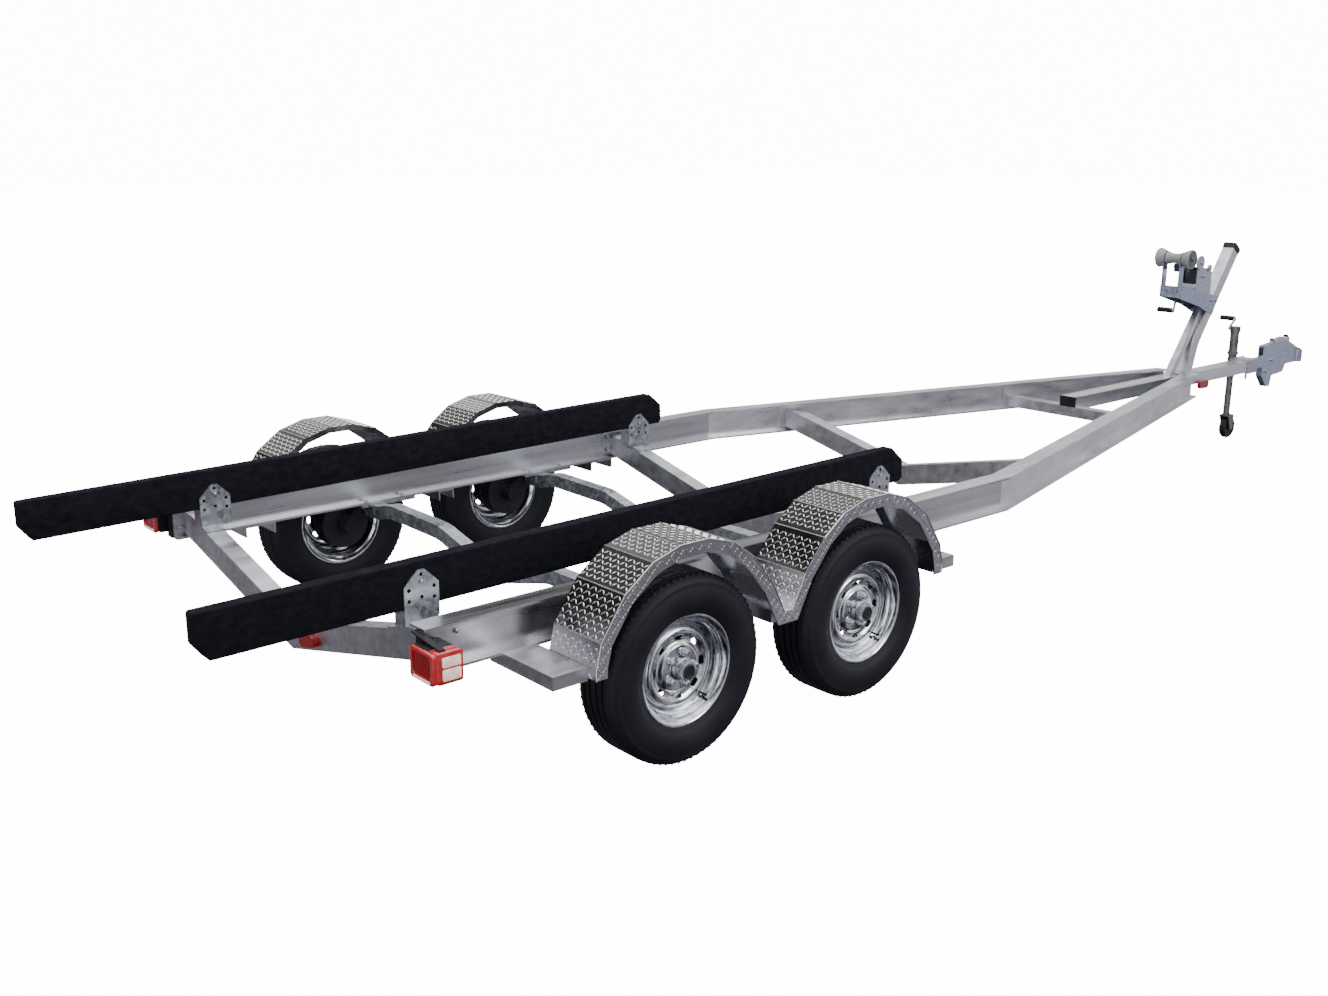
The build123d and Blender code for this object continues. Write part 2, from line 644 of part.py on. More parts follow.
brackets = []
for member_x, plate_x, outer_top, inner_top in BRACKET_TABLE:
    out_y = BUNK_Y + BUNK_W / 2
    in_y = BUNK_Y - BUNK_W / 2
    outer = bracket_plate(member_x, plate_x, out_y, out_y + PLATE_T,
                          out_y + FOOT_REACH, outer_top)
    inner = bracket_plate(member_x, plate_x, in_y - PLATE_T, in_y,
                          in_y - FOOT_REACH, inner_top)
    rear_web, front_web = bracket_webs(plate_x, in_y, out_y)
    brackets.append(outer + inner + rear_web + front_web)
write("bunk_brackets", *brackets, *[mirrored(item) for item in brackets])

# ---- Lamps --------------------------------------------------------------------------------
lamp_x0 = RAIL_REAR_X - LAMP_OVERHANG
lamp_x1 = lamp_x0 + LAMP_L
lamp = block(lamp_x0, lamp_x1, RAIL_OUT_Y, RAIL_OUT_Y + LAMP_W, LAMP_Z, LAMP_Z + LAMP_H)
lamp = fillet(lamp.edges().filter_by(Axis.Y).group_by(Axis.X)[0], radius=LAMP_CORNER_R)
write("tail_lamps", lamp, mirrored(lamp))


def hood_z(y):
    """Height of the hood's top at a distance from the middle."""
    fall = (HOOD_OUT[1] - HOOD_IN[1]) / (HOOD_OUT[0] - HOOD_IN[0])
    return HOOD_IN[1] + (y - HOOD_IN[0]) * fall


def hood_line():
    """The sloping roof over a lamp."""
    return [HOOD_IN, HOOD_OUT, (HOOD_OUT[0], HOOD_OUT[1] - HOOD_T),
            (HOOD_IN[0], HOOD_IN[1] - HOOD_T)]


# A plate in front of each lamp, welded to the rail's web, and a hood on the rail's rear end.
web_face = WEB_Y + RAIL_WEB_T / 2
backing = block(lamp_x1, lamp_x1 + PLATE_T, web_face, RAIL_OUT_Y + LAMP_W - BACKING_INSET,
                LAMP_Z + BACKING_INSET, LAMP_Z + LAMP_H - BACKING_INSET)
hood = cross_plate(hood_line(), RAIL_REAR_X - HOOD_DEPTH, RAIL_REAR_X)
hood += block(RAIL_REAR_X - HOOD_T, RAIL_REAR_X, HOOD_IN[0], RAIL_OUT_Y,
              RAIL_BOTTOM_Z, hood_z(RAIL_OUT_Y) - HOOD_T / 2)
write("lamp_brackets", backing, hood, mirrored(backing), mirrored(hood))

# One lamp lies along the rear crossmember's slope, and one on each side of the tongue.
mark_w, mark_h, mark_d = REAR_MARK
mark_y, mark_z = REAR_MARK_YZ
rear_mark = extrude(Plane.YZ * SlotOverall(mark_w, mark_h), amount=mark_d)
rear_mark = Rot(math.copysign(V_SLOPE_DEG, mark_y), 0, 0) * rear_mark
rear_mark = Pos(REAR_MEMBER_X - MEMBER_W / 2 - mark_d, mark_y, mark_z) * rear_mark
side_l, side_h, side_d = MARKER
marker = extrude(Plane.XZ * SlotOverall(side_l, side_h), amount=-side_d)
marker = Pos(MARKER_X, TONGUE_W / 2, MARKER_Z) * marker
write("marker_lamps", rear_mark, marker, mirrored(marker))

# ---- Winch mast ---------------------------------------------------------------------------
HALF_MAST = MAST / 2
MAST_END = math.atan2(MAST_TOP[1] - MAST_KNEE[1], MAST_TOP[0] - MAST_KNEE[0])


def mast_path():
    base = (MAST_BASE_X, 0, TONGUE_TOP_Z)
    knee = (MAST_KNEE[0], 0, MAST_KNEE[1])
    top = (MAST_TOP[0], 0, MAST_TOP[1])
    return FilletPolyline(base, knee, top, radius=MAST_BEND_R)


def make_mast():
    path = mast_path()
    start = Plane(origin=path @ 0, z_dir=path % 0, x_dir=(0, 1, 0))
    tube = sweep(start * Rectangle(MAST, MAST), path)
    behind, ahead, thick = MAST_FOOT
    foot = block(MAST_BASE_X - behind, MAST_BASE_X + ahead, -TONGUE_W / 2, TONGUE_W / 2,
                 TONGUE_TOP_Z, TONGUE_TOP_Z + thick)
    stub = block(MAST_BASE_X - MAST / 2, MAST_BASE_X + MAST / 2, -MAST / 2, MAST / 2,
                 TONGUE_TOP_Z, TONGUE_TOP_Z + 2 * thick)
    under = block(MAST_BASE_X - behind, MAST_BASE_X + ahead, -TONGUE_W, TONGUE_W,
                  TONGUE_Z, TONGUE_TOP_Z)
    return tube + stub + foot - under


mast = make_mast()
write("mast", mast)

cap_dir = (math.cos(MAST_END), 0, math.sin(MAST_END))
cap_plane = Plane(origin=(MAST_TOP[0], 0, MAST_TOP[1]), z_dir=cap_dir, x_dir=(0, 1, 0))
mast_cap = extrude(cap_plane * Rectangle(MAST + 6, MAST + 6), amount=MAST_CAP_T)
tongue_cap = block(front_x0 - CAP_T, front_x0, -TONGUE_W / 2, TONGUE_W / 2,
                   front_top_z + 1, TONGUE_TOP_Z)
write("end_caps", mast_cap, tongue_cap)

brace_dx = BRACE_TOP[0] - BRACE_BASE_X
brace_dz = BRACE_TOP[1] - TONGUE_TOP_Z
brace_half = BRACE / 2 * math.hypot(brace_dx, brace_dz) / brace_dz
brace = side_plate([
    (BRACE_BASE_X - brace_half, TONGUE_TOP_Z), (BRACE_BASE_X + brace_half, TONGUE_TOP_Z),
    (BRACE_TOP[0] + brace_half, BRACE_TOP[1]), (BRACE_TOP[0] - brace_half, BRACE_TOP[1]),
], -BRACE / 2, BRACE / 2)
write("mast_brace", (brace - mast).solids().sort_by(Axis.Z)[0])

# ---- Winch carriage, bow roller and winch -------------------------------------------------


def make_carriage():
    half = CARRIAGE_W / 2
    body = side_plate(CARRIAGE_SIDE, -half, half)
    hollow_line = [(x, z) for x, z in CARRIAGE_SIDE]
    hollow_line[0] = (CARRIAGE_SIDE[0][0] + CARRIAGE_T, CARRIAGE_SIDE[0][1] - CARRIAGE_T)
    hollow_line[1] = (CARRIAGE_SIDE[1][0] - CARRIAGE_T, CARRIAGE_SIDE[1][1] - CARRIAGE_T)
    hollow_line[2] = (CARRIAGE_SIDE[2][0] - CARRIAGE_T, CARRIAGE_SIDE[2][1])
    hollow_line[3] = (CARRIAGE_SIDE[3][0], CARRIAGE_SIDE[3][1] - 40)
    hollow_line[4] = (CARRIAGE_SIDE[4][0], CARRIAGE_SIDE[4][1] - 40)
    hollow_line[5] = (CARRIAGE_SIDE[5][0] + CARRIAGE_T, CARRIAGE_SIDE[5][1] - 40)
    body -= side_plate(hollow_line, -half + CARRIAGE_T, half - CARRIAGE_T)
    mast_hole = extrude(cap_plane * Rectangle(MAST + 2 * FIT, MAST + 2 * FIT), amount=-900)
    body -= mast_hole
    post_z0 = CARRIAGE_SIDE[5][1] + 20
    post_x0 = CARRIAGE_SIDE[0][0]
    for side in (-1, 1):
        y0 = side * POST_Y - 3
        post = block(post_x0, post_x0 + POST_W, y0, y0 + 6, post_z0, ROLLER_Z - 10)
        post += rod(ROLLER_X, y0, ROLLER_Z, 22, 6, "y")
        lean = [(post_x0, ROLLER_Z - 40), (post_x0 + POST_W, ROLLER_Z - 40),
                (ROLLER_X + 22, ROLLER_Z), (ROLLER_X - 22, ROLLER_Z)]
        post += side_plate(lean, y0, y0 + 6)
        post -= rod(ROLLER_X, y0 - 1, ROLLER_Z, ROLLER_PIN_R + 0.1, 8, "y")
        body += post
    return body


write("winch_carriage", make_carriage())

SPOOL = POST_Y - 3 - 1.0        # half width of the middle spool
BELL = POST_Y + 3 + 1.0         # where the end bells begin
roller_line = [
    (0, -ROLLER_W / 2), (56, -ROLLER_W / 2), (60, -ROLLER_W / 2 + 8), (57, -92),
    (44, -BELL), (ROLLER_PIN_R, -BELL), (ROLLER_PIN_R, -SPOOL), (40, -SPOOL),
    (32, -26), (30, 0), (32, 26), (40, SPOOL), (ROLLER_PIN_R, SPOOL),
    (ROLLER_PIN_R, BELL), (44, BELL), (57, 92), (60, ROLLER_W / 2 - 8),
    (56, ROLLER_W / 2), (0, ROLLER_W / 2),
]
write("bow_roller", Pos(ROLLER_X, 0, ROLLER_Z) * spun(roller_line))


def carriage_top_z(x):
    (x0, z0), (x1, z1) = CARRIAGE_SIDE[:2]
    return z0 + (x - x0) * (z1 - z0) / (x1 - x0)


def make_winch_frame():
    half = WINCH_W / 2
    foot = [(x, carriage_top_z(x)) for x in WINCH_FOOT_X]
    side = foot + WINCH_TOP
    frame = side_plate(side, -half, -half + 4) + side_plate(side, half - 4, half)
    for x, z, radius in (GEAR, PINION):
        frame += rod(x, -half - GEAR_T, z, radius, GEAR_T + 4, "y")
    base = foot + [(x, z + WINCH_BASE_T) for x, z in reversed(foot)]
    return frame + side_plate(base, -half, half)


write("winch_frame", make_winch_frame())

half_drum = WINCH_W / 2 - 4
drum = rod(DRUM_X, -half_drum, DRUM_Z, DRUM_R, 2 * half_drum, "y")
drum += rod(DRUM_X, -half_drum + 8, DRUM_Z, STRAP_R, 2 * half_drum - 16, "y")
write("winch_drum", drum)

crank_shaft_y = WINCH_W / 2
crank = rod(CRANK_SHAFT[0], crank_shaft_y, CRANK_SHAFT[1], 9, CRANK_Y - crank_shaft_y, "y")
crank_drop = (CRANK_END[0] - CRANK_SHAFT[0], CRANK_END[1] - CRANK_SHAFT[1])
drop_run = math.hypot(*crank_drop)
across = (-crank_drop[1] / drop_run * 10, crank_drop[0] / drop_run * 10)
crank += side_plate([
    (CRANK_SHAFT[0] - across[0], CRANK_SHAFT[1] - across[1]),
    (CRANK_SHAFT[0] + across[0], CRANK_SHAFT[1] + across[1]),
    (CRANK_END[0] + across[0], CRANK_END[1] + across[1]),
    (CRANK_END[0] - across[0], CRANK_END[1] - across[1]),
], CRANK_Y, CRANK_Y + CRANK_R)
for end in (CRANK_SHAFT, CRANK_END):
    crank += rod(end[0], CRANK_Y, end[1], 13, CRANK_R, "y")
crank += rod(CRANK_END[0], CRANK_Y + CRANK_R, CRANK_END[1], GRIP_R, GRIP_L, "y")
write("winch_crank", crank)

# ---- Tongue jack --------------------------------------------------------------------------
TUBE_IN_Y = JACK_Y - JACK_TUBE_R
clamp_t = 10.0
clamp_y = TONGUE_W / 2 + SLEEVE_T
clamp = block(SLEEVE_X[0] + 20, JACK_X + 24, clamp_y, clamp_y + clamp_t,
              TONGUE_Z - SLEEVE_T, TONGUE_TOP_Z + SLEEVE_T)
pivot_y = clamp_y + clamp_t
clamp += rod(JACK_X, clamp_y, JACK_PIVOT_Z, 30, clamp_t, "y")
clamp += rod(JACK_X, pivot_y, JACK_PIVOT_Z, 30, 12, "y")
clamp += rod(JACK_X, pivot_y, JACK_PIVOT_Z, 14, 24, "y")
write("jack_clamp", clamp)

swivel_y = pivot_y + 12 + FIT
tube = rod(JACK_X, JACK_Y, JACK_TUBE_LOW_Z, JACK_TUBE_R,
           JACK_TUBE_TOP_Z - JACK_TUBE_LOW_Z, "z")
tube += rod(JACK_X, swivel_y, JACK_PIVOT_Z, 38, JACK_Y - swivel_y, "y")
tube -= rod(JACK_X, swivel_y - 1, JACK_PIVOT_Z, 14.06, 14, "y")
tube += rod(JACK_X, JACK_Y, JACK_COLLAR_Z, JACK_TUBE_R + 7, 16, "z")
tube += rod(JACK_X, JACK_Y, JACK_TUBE_TOP_Z - 1, JACK_HEAD_R, JACK_HEAD_H + 1, "z")
tube -= rod(JACK_X, JACK_Y, JACK_TUBE_LOW_Z - 1, JACK_LEG_R + 0.06,
            JACK_TUBE_TOP_Z - JACK_TUBE_LOW_Z - 20, "z")
write("jack_tube", tube)

crank_z = JACK_TUBE_TOP_Z + JACK_HEAD_H / 2
crank_y = JACK_Y + JACK_HEAD_R
jack_crank = rod(JACK_X, crank_y, crank_z, 8, 12, "y")
jack_crank += side_plate([
    (JACK_X - 12, crank_z + 4), (JACK_X + 4, crank_z - 12),
    (JACK_X + JACK_CRANK_DX + 12, crank_z + JACK_CRANK_DZ - 4),
    (JACK_X + JACK_CRANK_DX - 4, crank_z + JACK_CRANK_DZ + 12),
], crank_y + 10, crank_y + 16)
jack_crank += rod(JACK_X + JACK_CRANK_DX, crank_y + 16, crank_z + JACK_CRANK_DZ,
                  GRIP_R, GRIP_L, "y")
write("jack_crank", jack_crank)

fork_top = 2 * JACK_WHEEL_R + FORK_GAP + 8
leg = rod(JACK_X, JACK_Y, fork_top + FIT, JACK_LEG_R, JACK_LEG_TOP_Z - fork_top - FIT, "z")
leg += rod(JACK_X, JACK_Y, fork_top - 7, 10, 8, "z")
write("jack_leg", leg)

wheel_x = JACK_X + JACK_TRAIL
cheek_in = JACK_WHEEL_W / 2 + FORK_GAP
fork = block(JACK_X - 28, wheel_x + 20, JACK_Y - cheek_in - FORK_T, JACK_Y + cheek_in + FORK_T,
             fork_top - 8, fork_top)
cheek = [
    (JACK_X - 28, fork_top), (wheel_x + 20, fork_top), (wheel_x + 16, JACK_WHEEL_R - 14),
    (wheel_x - 16, JACK_WHEEL_R - 14),
]
for side in (-1, 1):
    y0 = JACK_Y + side * (cheek_in + FORK_T / 2) - FORK_T / 2
    fork += side_plate(cheek, y0, y0 + FORK_T)
fork += rod(wheel_x, JACK_Y - cheek_in - 1, JACK_WHEEL_R, JACK_PIN_R, 2 * cheek_in + 2, "y")
fork -= rod(JACK_X, JACK_Y, fork_top - 9, 10.06, 10, "z")
write("jack_fork", fork)

half_w = JACK_WHEEL_W / 2
jack_wheel = spun([
    (JACK_PIN_R + SPINDLE_GAP, -half_w - 3), (20, -half_w - 3), (22, -half_w + 6),
    (50, -half_w + 6), (54, -half_w), (JACK_WHEEL_R - 8, -half_w), (JACK_WHEEL_R, -half_w + 10),
    (JACK_WHEEL_R, half_w - 10), (JACK_WHEEL_R - 8, half_w), (54, half_w), (50, half_w - 6),
    (22, half_w - 6), (20, half_w + 3), (JACK_PIN_R + SPINDLE_GAP, half_w + 3),
])
write("jack_wheel", Pos(wheel_x, JACK_Y, JACK_WHEEL_R) * jack_wheel)

# ---- Coupler ------------------------------------------------------------------------------
sleeve_half = TONGUE_W / 2 + SLEEVE_T
sleeve = block(SLEEVE_X[0], SLEEVE_X[1], -sleeve_half, sleeve_half,
               TONGUE_Z - SLEEVE_T, TONGUE_TOP_Z + SLEEVE_T)
sleeve -= block(SLEEVE_X[0] - 1, SLEEVE_X[1] + 1, -TONGUE_W / 2, TONGUE_W / 2,
                TONGUE_Z, TONGUE_TOP_Z)
sleeve += rod(SLEEVE_X[1] - 4 * HANGER_R, 0, HANGER_Z, HANGER_R,
              TONGUE_Z - SLEEVE_T / 2 - HANGER_Z, "z")
write("coupler_sleeve", sleeve)

SHANK_INSET = 5.0
COUPLER_SIDE = [                # x, z: round from the rear of the shank's underside
    (TONGUE_FRONT_X, TONGUE_Z + SHANK_INSET), (BODY_REAR_X, TONGUE_Z + SHANK_INSET),
    (BODY_REAR_X, 442), (6508, 360), (6560, 356), (6578, 430), (6735, 440),
    (6766, BALL_FACE_Z), (NOSE_X, BALL_FACE_Z), (NOSE_X, 545), (NOSE_X - 62, 590),
    (6880, 614), (6790, 650), (6700, 664), (6534, 658), (BODY_REAR_X, 648),
    (BODY_REAR_X, TONGUE_TOP_Z - SHANK_INSET), (TONGUE_FRONT_X, TONGUE_TOP_Z - SHANK_INSET),
]


def make_coupler():
    """A narrow housing on a shank, with a round head over the ball."""
    high = max(z for x, z in COUPLER_SIDE)
    low = min(z for x, z in COUPLER_SIDE)
    plan = block(TONGUE_FRONT_X, BALL_X, -COUPLER_HALF, COUPLER_HALF, low, high)
    plan += rod(BALL_X, 0, low, HEAD_R, high - low, "z")
    body = side_plate(COUPLER_SIDE, -HEAD_R, HEAD_R) & plan
    depth, half, slot_low, slot_high = BODY_SLOT
    body -= block(BODY_REAR_X - 1, BODY_REAR_X + depth, -half, half, slot_low, slot_high)
    body -= rod(BALL_X, 0, BALL_FACE_Z - 1, BALL_R, BALL_DEPTH + 1, "z")
    body += rod(CAP_X, 0, BALL_FACE_Z + BALL_DEPTH, CAP_R, CAP_TOP_Z - BALL_FACE_Z - BALL_DEPTH, "z")
    return body


coupler = make_coupler()
write("coupler_body", coupler)
LATCH_HALF = 13.0
LATCH_SIDE = [                  # x and z: a lever that lies along the body's top
    (6590, 650), (6800, 634), (6808, 668), (6776, 692), (6752, 670), (6700, 690),
    (6638, 686), (6590, 670),
]
latch = side_plate(LATCH_SIDE, -LATCH_HALF, LATCH_HALF) - coupler
write("coupler_latch", latch.solids().sort_by(SortBy.VOLUME)[-1])
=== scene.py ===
"""Finishes and fine pieces of a tandem-axle boat trailer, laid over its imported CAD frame.

Metres, in the frame of the CAD model: +X forward to the coupler, +Y left, +Z up.
"""
import math

import bmesh
import bpy
from mathutils import Matrix, Vector


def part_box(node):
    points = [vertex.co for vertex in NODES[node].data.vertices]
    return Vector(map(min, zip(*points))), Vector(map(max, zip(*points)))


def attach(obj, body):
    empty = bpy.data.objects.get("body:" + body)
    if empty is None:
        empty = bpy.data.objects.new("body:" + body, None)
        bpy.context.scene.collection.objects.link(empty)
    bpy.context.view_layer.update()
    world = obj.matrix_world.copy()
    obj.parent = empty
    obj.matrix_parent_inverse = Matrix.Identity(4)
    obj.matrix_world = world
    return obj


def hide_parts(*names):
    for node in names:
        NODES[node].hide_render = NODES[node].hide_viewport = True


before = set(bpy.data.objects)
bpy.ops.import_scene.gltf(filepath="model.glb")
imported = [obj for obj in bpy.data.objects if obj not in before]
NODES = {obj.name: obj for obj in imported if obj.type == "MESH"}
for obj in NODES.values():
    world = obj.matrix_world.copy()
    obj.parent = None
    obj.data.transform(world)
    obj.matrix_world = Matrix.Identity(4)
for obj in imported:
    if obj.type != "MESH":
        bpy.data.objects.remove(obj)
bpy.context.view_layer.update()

bl_info = {
    "name": "Boat trailer finishes",
    "version": (1, 0, 0),
    "blender": (4, 5, 0),
    "location": "View3D > Sidebar > Trailer",
    "description": "Adds the fine pieces and finishes of a tandem-axle boat trailer",
    "category": "Add Mesh",
}

MM = 0.001
LEFT = Vector((0, 1, 0))
WHEELS = ("rear_left", "rear_right", "front_left", "front_right")


# ---- Places read from the frame ------------------------------------------------------------
def low(node):
    return Vector(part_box(node)[0])


def high(node):
    return Vector(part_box(node)[1])


def middle(node):
    return (low(node) + high(node)) / 2


RAIL_TOP = high("rail_left").z
RAIL_LOW = low("rail_left").z
ORIGIN_X = high("coupler_body").x - 6996 * MM          # middle of the rear axle
TYRE_RADIUS = (high("tyre_rear_left").z - low("tyre_rear_left").z) / 2


def spot(x, y, z):
    """A place in millimetres from the ground under the rear axle's middle."""
    return Vector((ORIGIN_X + x * MM, y * MM, z * MM))


# ---- Sizes and colours that a user may change ----------------------------------------------
class TrailerSizes(bpy.types.PropertyGroup):
    """Sizes of the fine pieces."""

    groove_depth: bpy.props.FloatProperty(
        name="Groove depth", description="Depth of the tyre's round grooves",
        default=8 * MM, min=0.0, unit="LENGTH")
    shoulder_lugs: bpy.props.IntProperty(
        name="Shoulder lugs", description="Lugs round one shoulder of a tyre",
        default=72, min=8)
    tread_pitch: bpy.props.FloatProperty(
        name="Tread plate pitch", description="Distance between the lozenges of the tread plate",
        default=20 * MM, min=0.005, unit="LENGTH")
    tread_length: bpy.props.FloatProperty(
        name="Lozenge length", description="Length of one lozenge of the tread plate",
        default=22 * MM, min=0.001, unit="LENGTH")
    tread_width: bpy.props.FloatProperty(
        name="Lozenge width", description="Width of one lozenge of the tread plate",
        default=6 * MM, min=0.001, unit="LENGTH")
    tread_height: bpy.props.FloatProperty(
        name="Lozenge height", description="Height of the lozenges above the plate",
        default=1.5 * MM, min=0.0, unit="LENGTH")
    nut_size: bpy.props.FloatProperty(
        name="Lug nut", description="Width of a lug nut across its flats",
        default=21 * MM, min=0.001, unit="LENGTH")
    lug_circle: bpy.props.FloatProperty(
        name="Lug circle", description="Radius of the circle of lug nuts",
        default=57.15 * MM, min=0.001, unit="LENGTH")
    bolt_size: bpy.props.FloatProperty(
        name="Frame bolt", description="Width of a frame bolt's head across its flats",
        default=19 * MM, min=0.001, unit="LENGTH")
    carpet_edge: bpy.props.FloatProperty(
        name="Carpet edge", description="Radius of the carpet where it turns round a board's edge",
        default=9 * MM, min=0.0, unit="LENGTH")


class TrailerColours(bpy.types.PropertyGroup):
    """Main colours of the finishes."""

    aluminium: bpy.props.FloatVectorProperty(
        name="Aluminium", description="Mill-finished aluminium of the frame",
        subtype="COLOR", size=3, default=(0.66, 0.66, 0.69))
    # The dark of this ground is painted: it stands for the dark reflections of the polished plate,
    # not its own colour.
    plate: bpy.props.FloatVectorProperty(
        name="Tread plate", description="Polished ground of the fenders' tread plate",
        subtype="COLOR", size=3, default=(0.046, 0.040, 0.040))
    zinc: bpy.props.FloatVectorProperty(
        name="Zinc", description="Galvanised and plated steel",
        subtype="COLOR", size=3, default=(0.42, 0.44, 0.48))
    rim: bpy.props.FloatVectorProperty(
        name="Rim", description="Bright silver of the wheel rims",
        subtype="COLOR", size=3, default=(0.74, 0.75, 0.80))
    carpet: bpy.props.FloatVectorProperty(
        name="Carpet", description="Pile on the bunks",
        subtype="COLOR", size=3, default=(0.0110, 0.0106, 0.0150))
    rubber: bpy.props.FloatVectorProperty(
        name="Tyre rubber", description="Black of the tyres",
        subtype="COLOR", size=3, default=(0.0055, 0.0055, 0.010))
    lens: bpy.props.FloatVectorProperty(
        name="Lens", description="Red of the lamps",
        subtype="COLOR", size=3, default=(0.50, 0.004, 0.008))
    roller: bpy.props.FloatVectorProperty(
        name="Bow roller", description="Grey of the bow roller",
        subtype="COLOR", size=3, default=(0.235, 0.24, 0.235))
    floor: bpy.props.FloatVectorProperty(
        name="Floor", description="Pale studio floor",
        subtype="COLOR", size=3, default=(0.92, 0.92, 0.92))


def sizes():
    return bpy.context.scene.trailer_sizes


def colours():
    return bpy.context.scene.trailer_colours


# ---- Nodes and shader maths ----------------------------------------------------------------
class Nodes:
    """A node tree and the one way to put nodes in it."""

    def __init__(self, tree):
        self.tree = tree

    def node(self, kind, inputs=None, stops=(), **settings):
        """A node: its settings and its ramp's stops, then the values or links of its sockets."""
        made = self.tree.nodes.new(kind)
        for name, value in settings.items():
            setattr(made, name, value)
        if stops:
            ramp = made.color_ramp.elements
            while len(ramp) < len(stops):
                ramp.new(0.5)
            for element, (place, tone) in zip(ramp, stops):
                element.position = place
                element.color = (*tone, 1.0)
        for name, value in (inputs or {}).items():
            self.feed(made.inputs[name], value)
        return made

    def feed(self, socket, value):
        """Links a wire or a socket to a socket, or sets the socket's own value."""
        if isinstance(value, Wire):
            value = value.socket
        if hasattr(value, "links"):
            self.tree.links.new(value, socket)
        else:
            socket.default_value = value


class Wire:
    """A shader socket that takes part in sums as a number does."""

    def __init__(self, nodes, socket):
        self.nodes = nodes
        self.socket = socket

    def maths(self, operation, *values):
        made = self.nodes.node("ShaderNodeMath", dict(enumerate(values)), operation=operation)
        return Wire(self.nodes, made.outputs[0])

    def __add__(self, other):
        return self.maths("ADD", self, other)

    __radd__ = __add__

    def __sub__(self, other):
        return self.maths("SUBTRACT", self, other)

    def __rsub__(self, other):
        return self.maths("SUBTRACT", other, self)

    def __mul__(self, other):
        return self.maths("MULTIPLY", self, other)

    __rmul__ = __mul__

    def sine(self):
        return self.maths("SINE", self)


class Finish(Nodes):
    """A material in the making, built round one Principled shader."""

    def __init__(self, name, constants):
        self.material = bpy.data.materials.new(name + "_finish")
        self.material.use_nodes = True
        super().__init__(self.material.node_tree)
        self.tree.nodes.clear()
        self.shader = self.node("ShaderNodeBsdfPrincipled", constants)
        self.node("ShaderNodeOutputMaterial", {"Surface": self.shader.outputs[0]})

    def place(self, scale=(1.0, 1.0, 1.0), uv=False):
        """Coordinates on the piece, stretched by a scale on each axis."""
        source = self.node("ShaderNodeTexCoord").outputs["UV" if uv else "Object"]
        return self.node("ShaderNodeMapping", {"Vector": source, "Scale": scale}).outputs[0]

    def axis(self, letter, uv=False):
        """One coordinate of the piece's own place."""
        parts = self.node("ShaderNodeSeparateXYZ", {"Vector": self.place(uv=uv)})
        return Wire(self, parts.outputs[letter])

    def noise(self, scale, detail=4.0, stretch=(1.0, 1.0, 1.0), rough=0.5):
        """Soft clouds, from 0 to 1."""
        cloud = self.node("ShaderNodeTexNoise", {
            "Vector": self.place(stretch), "Scale": scale, "Detail": detail, "Roughness": rough})
        return Wire(self, cloud.outputs["Fac"])

    def cells(self, scale, output="Color"):
        """Crystals: a random level for each, or the distance from its middle."""
        pattern = self.node("ShaderNodeTexVoronoi", {"Vector": self.place(), "Scale": scale})
        if output == "Color":
            parts = self.node("ShaderNodeSeparateColor", {"Color": pattern.outputs["Color"]})
            return Wire(self, parts.outputs[0])
        return Wire(self, pattern.outputs[output])

    def between(self, factor, first, second):
        """A mix of two colours."""
        mixer = self.node("ShaderNodeMix", {0: factor, 6: first, 7: second}, data_type="RGBA")
        return Wire(self, mixer.outputs[2])

    def ease(self, value, from_low, from_high, to_low=0.0, to_high=1.0):
        """The value moved from one range to another and kept inside it."""
        mapped = self.node("ShaderNodeMapRange", {
            "Value": value, "From Min": from_low, "From Max": from_high, "To Min": to_low,
            "To Max": to_high})
        return Wire(self, mapped.outputs["Result"])

    def colour(self, value):
        self.feed(self.shader.inputs["Base Color"], value)

    def rough(self, value):
        self.feed(self.shader.inputs["Roughness"], value)

    def bump(self, height, depth, strength=1.0):
        """Height in 0 to 1, depth in metres."""
        relief = self.node("ShaderNodeBump", {
            "Height": height, "Strength": strength, "Distance": depth})
        self.feed(self.shader.inputs["Normal"], relief.outputs[0])


def shade(colour, factor=1.0):
    """A colour as a socket takes it, made lighter or darker."""
    return (colour[0] * factor, colour[1] * factor, colour[2] * factor, 1.0)


# ---- Finishes ------------------------------------------------------------------------------
def aluminium_finish():
    """Mill-finished extrusion: soft cloudy gloss with long rolling marks."""
    made = Finish("frame_aluminium", {"Metallic": 1.0})
    clouds = made.noise(1.6, 2.0, (1.0, 1.0, 1.6))
    streaks = made.noise(22.0, 3.0, (0.05, 1.0, 1.0))
    marks = made.noise(160.0, 2.0, (0.03, 1.0, 1.0))
    tone = made.ease(clouds * 0.5 + streaks * 0.5, 0.35, 0.65)
    made.colour(made.between(tone, shade(colours().aluminium, 0.80),
                             shade(colours().aluminium, 1.18)))
    made.rough(made.ease(streaks * 0.6 + marks * 0.4, 0.3, 0.7, 0.24, 0.40))
    made.bump(marks * 0.7 + clouds * 0.3, 0.25 * MM, 0.6)
    return made.material


def galvanised_finish(name="galvanised", factor=1.0, spangle=55.0, tint=(1.0, 1.0, 1.0)):
    """Hot-dipped zinc: a patchwork of dull and bright crystals."""
    made = Finish(name, {"Metallic": 0.9})
    crystals = made.cells(spangle)
    clouds = made.noise(9.0, 5.0)
    tone = made.ease(crystals * 0.4 + clouds * 0.6, 0.25, 0.75)
    zinc = [part * share for part, share in zip(colours().zinc, tint)]
    made.colour(made.between(tone, shade(zinc, 0.80 * factor), shade(zinc, 1.24 * factor)))
    made.rough(made.ease(crystals, 0.0, 1.0, 0.26, 0.46))
    made.bump(clouds, 0.8 * MM, 0.5)
    return made.material


def blue_zinc_finish():
    """Plated steel with the faint blue of its passive coat."""
    return galvanised_finish("blue_zinc", 1.0, 90.0, (0.93, 0.98, 1.14))


def worn_zinc_finish():
    """Older, darker plating of the jack."""
    return galvanised_finish("worn_zinc", 0.40, 70.0, (1.0, 1.0, 0.94))


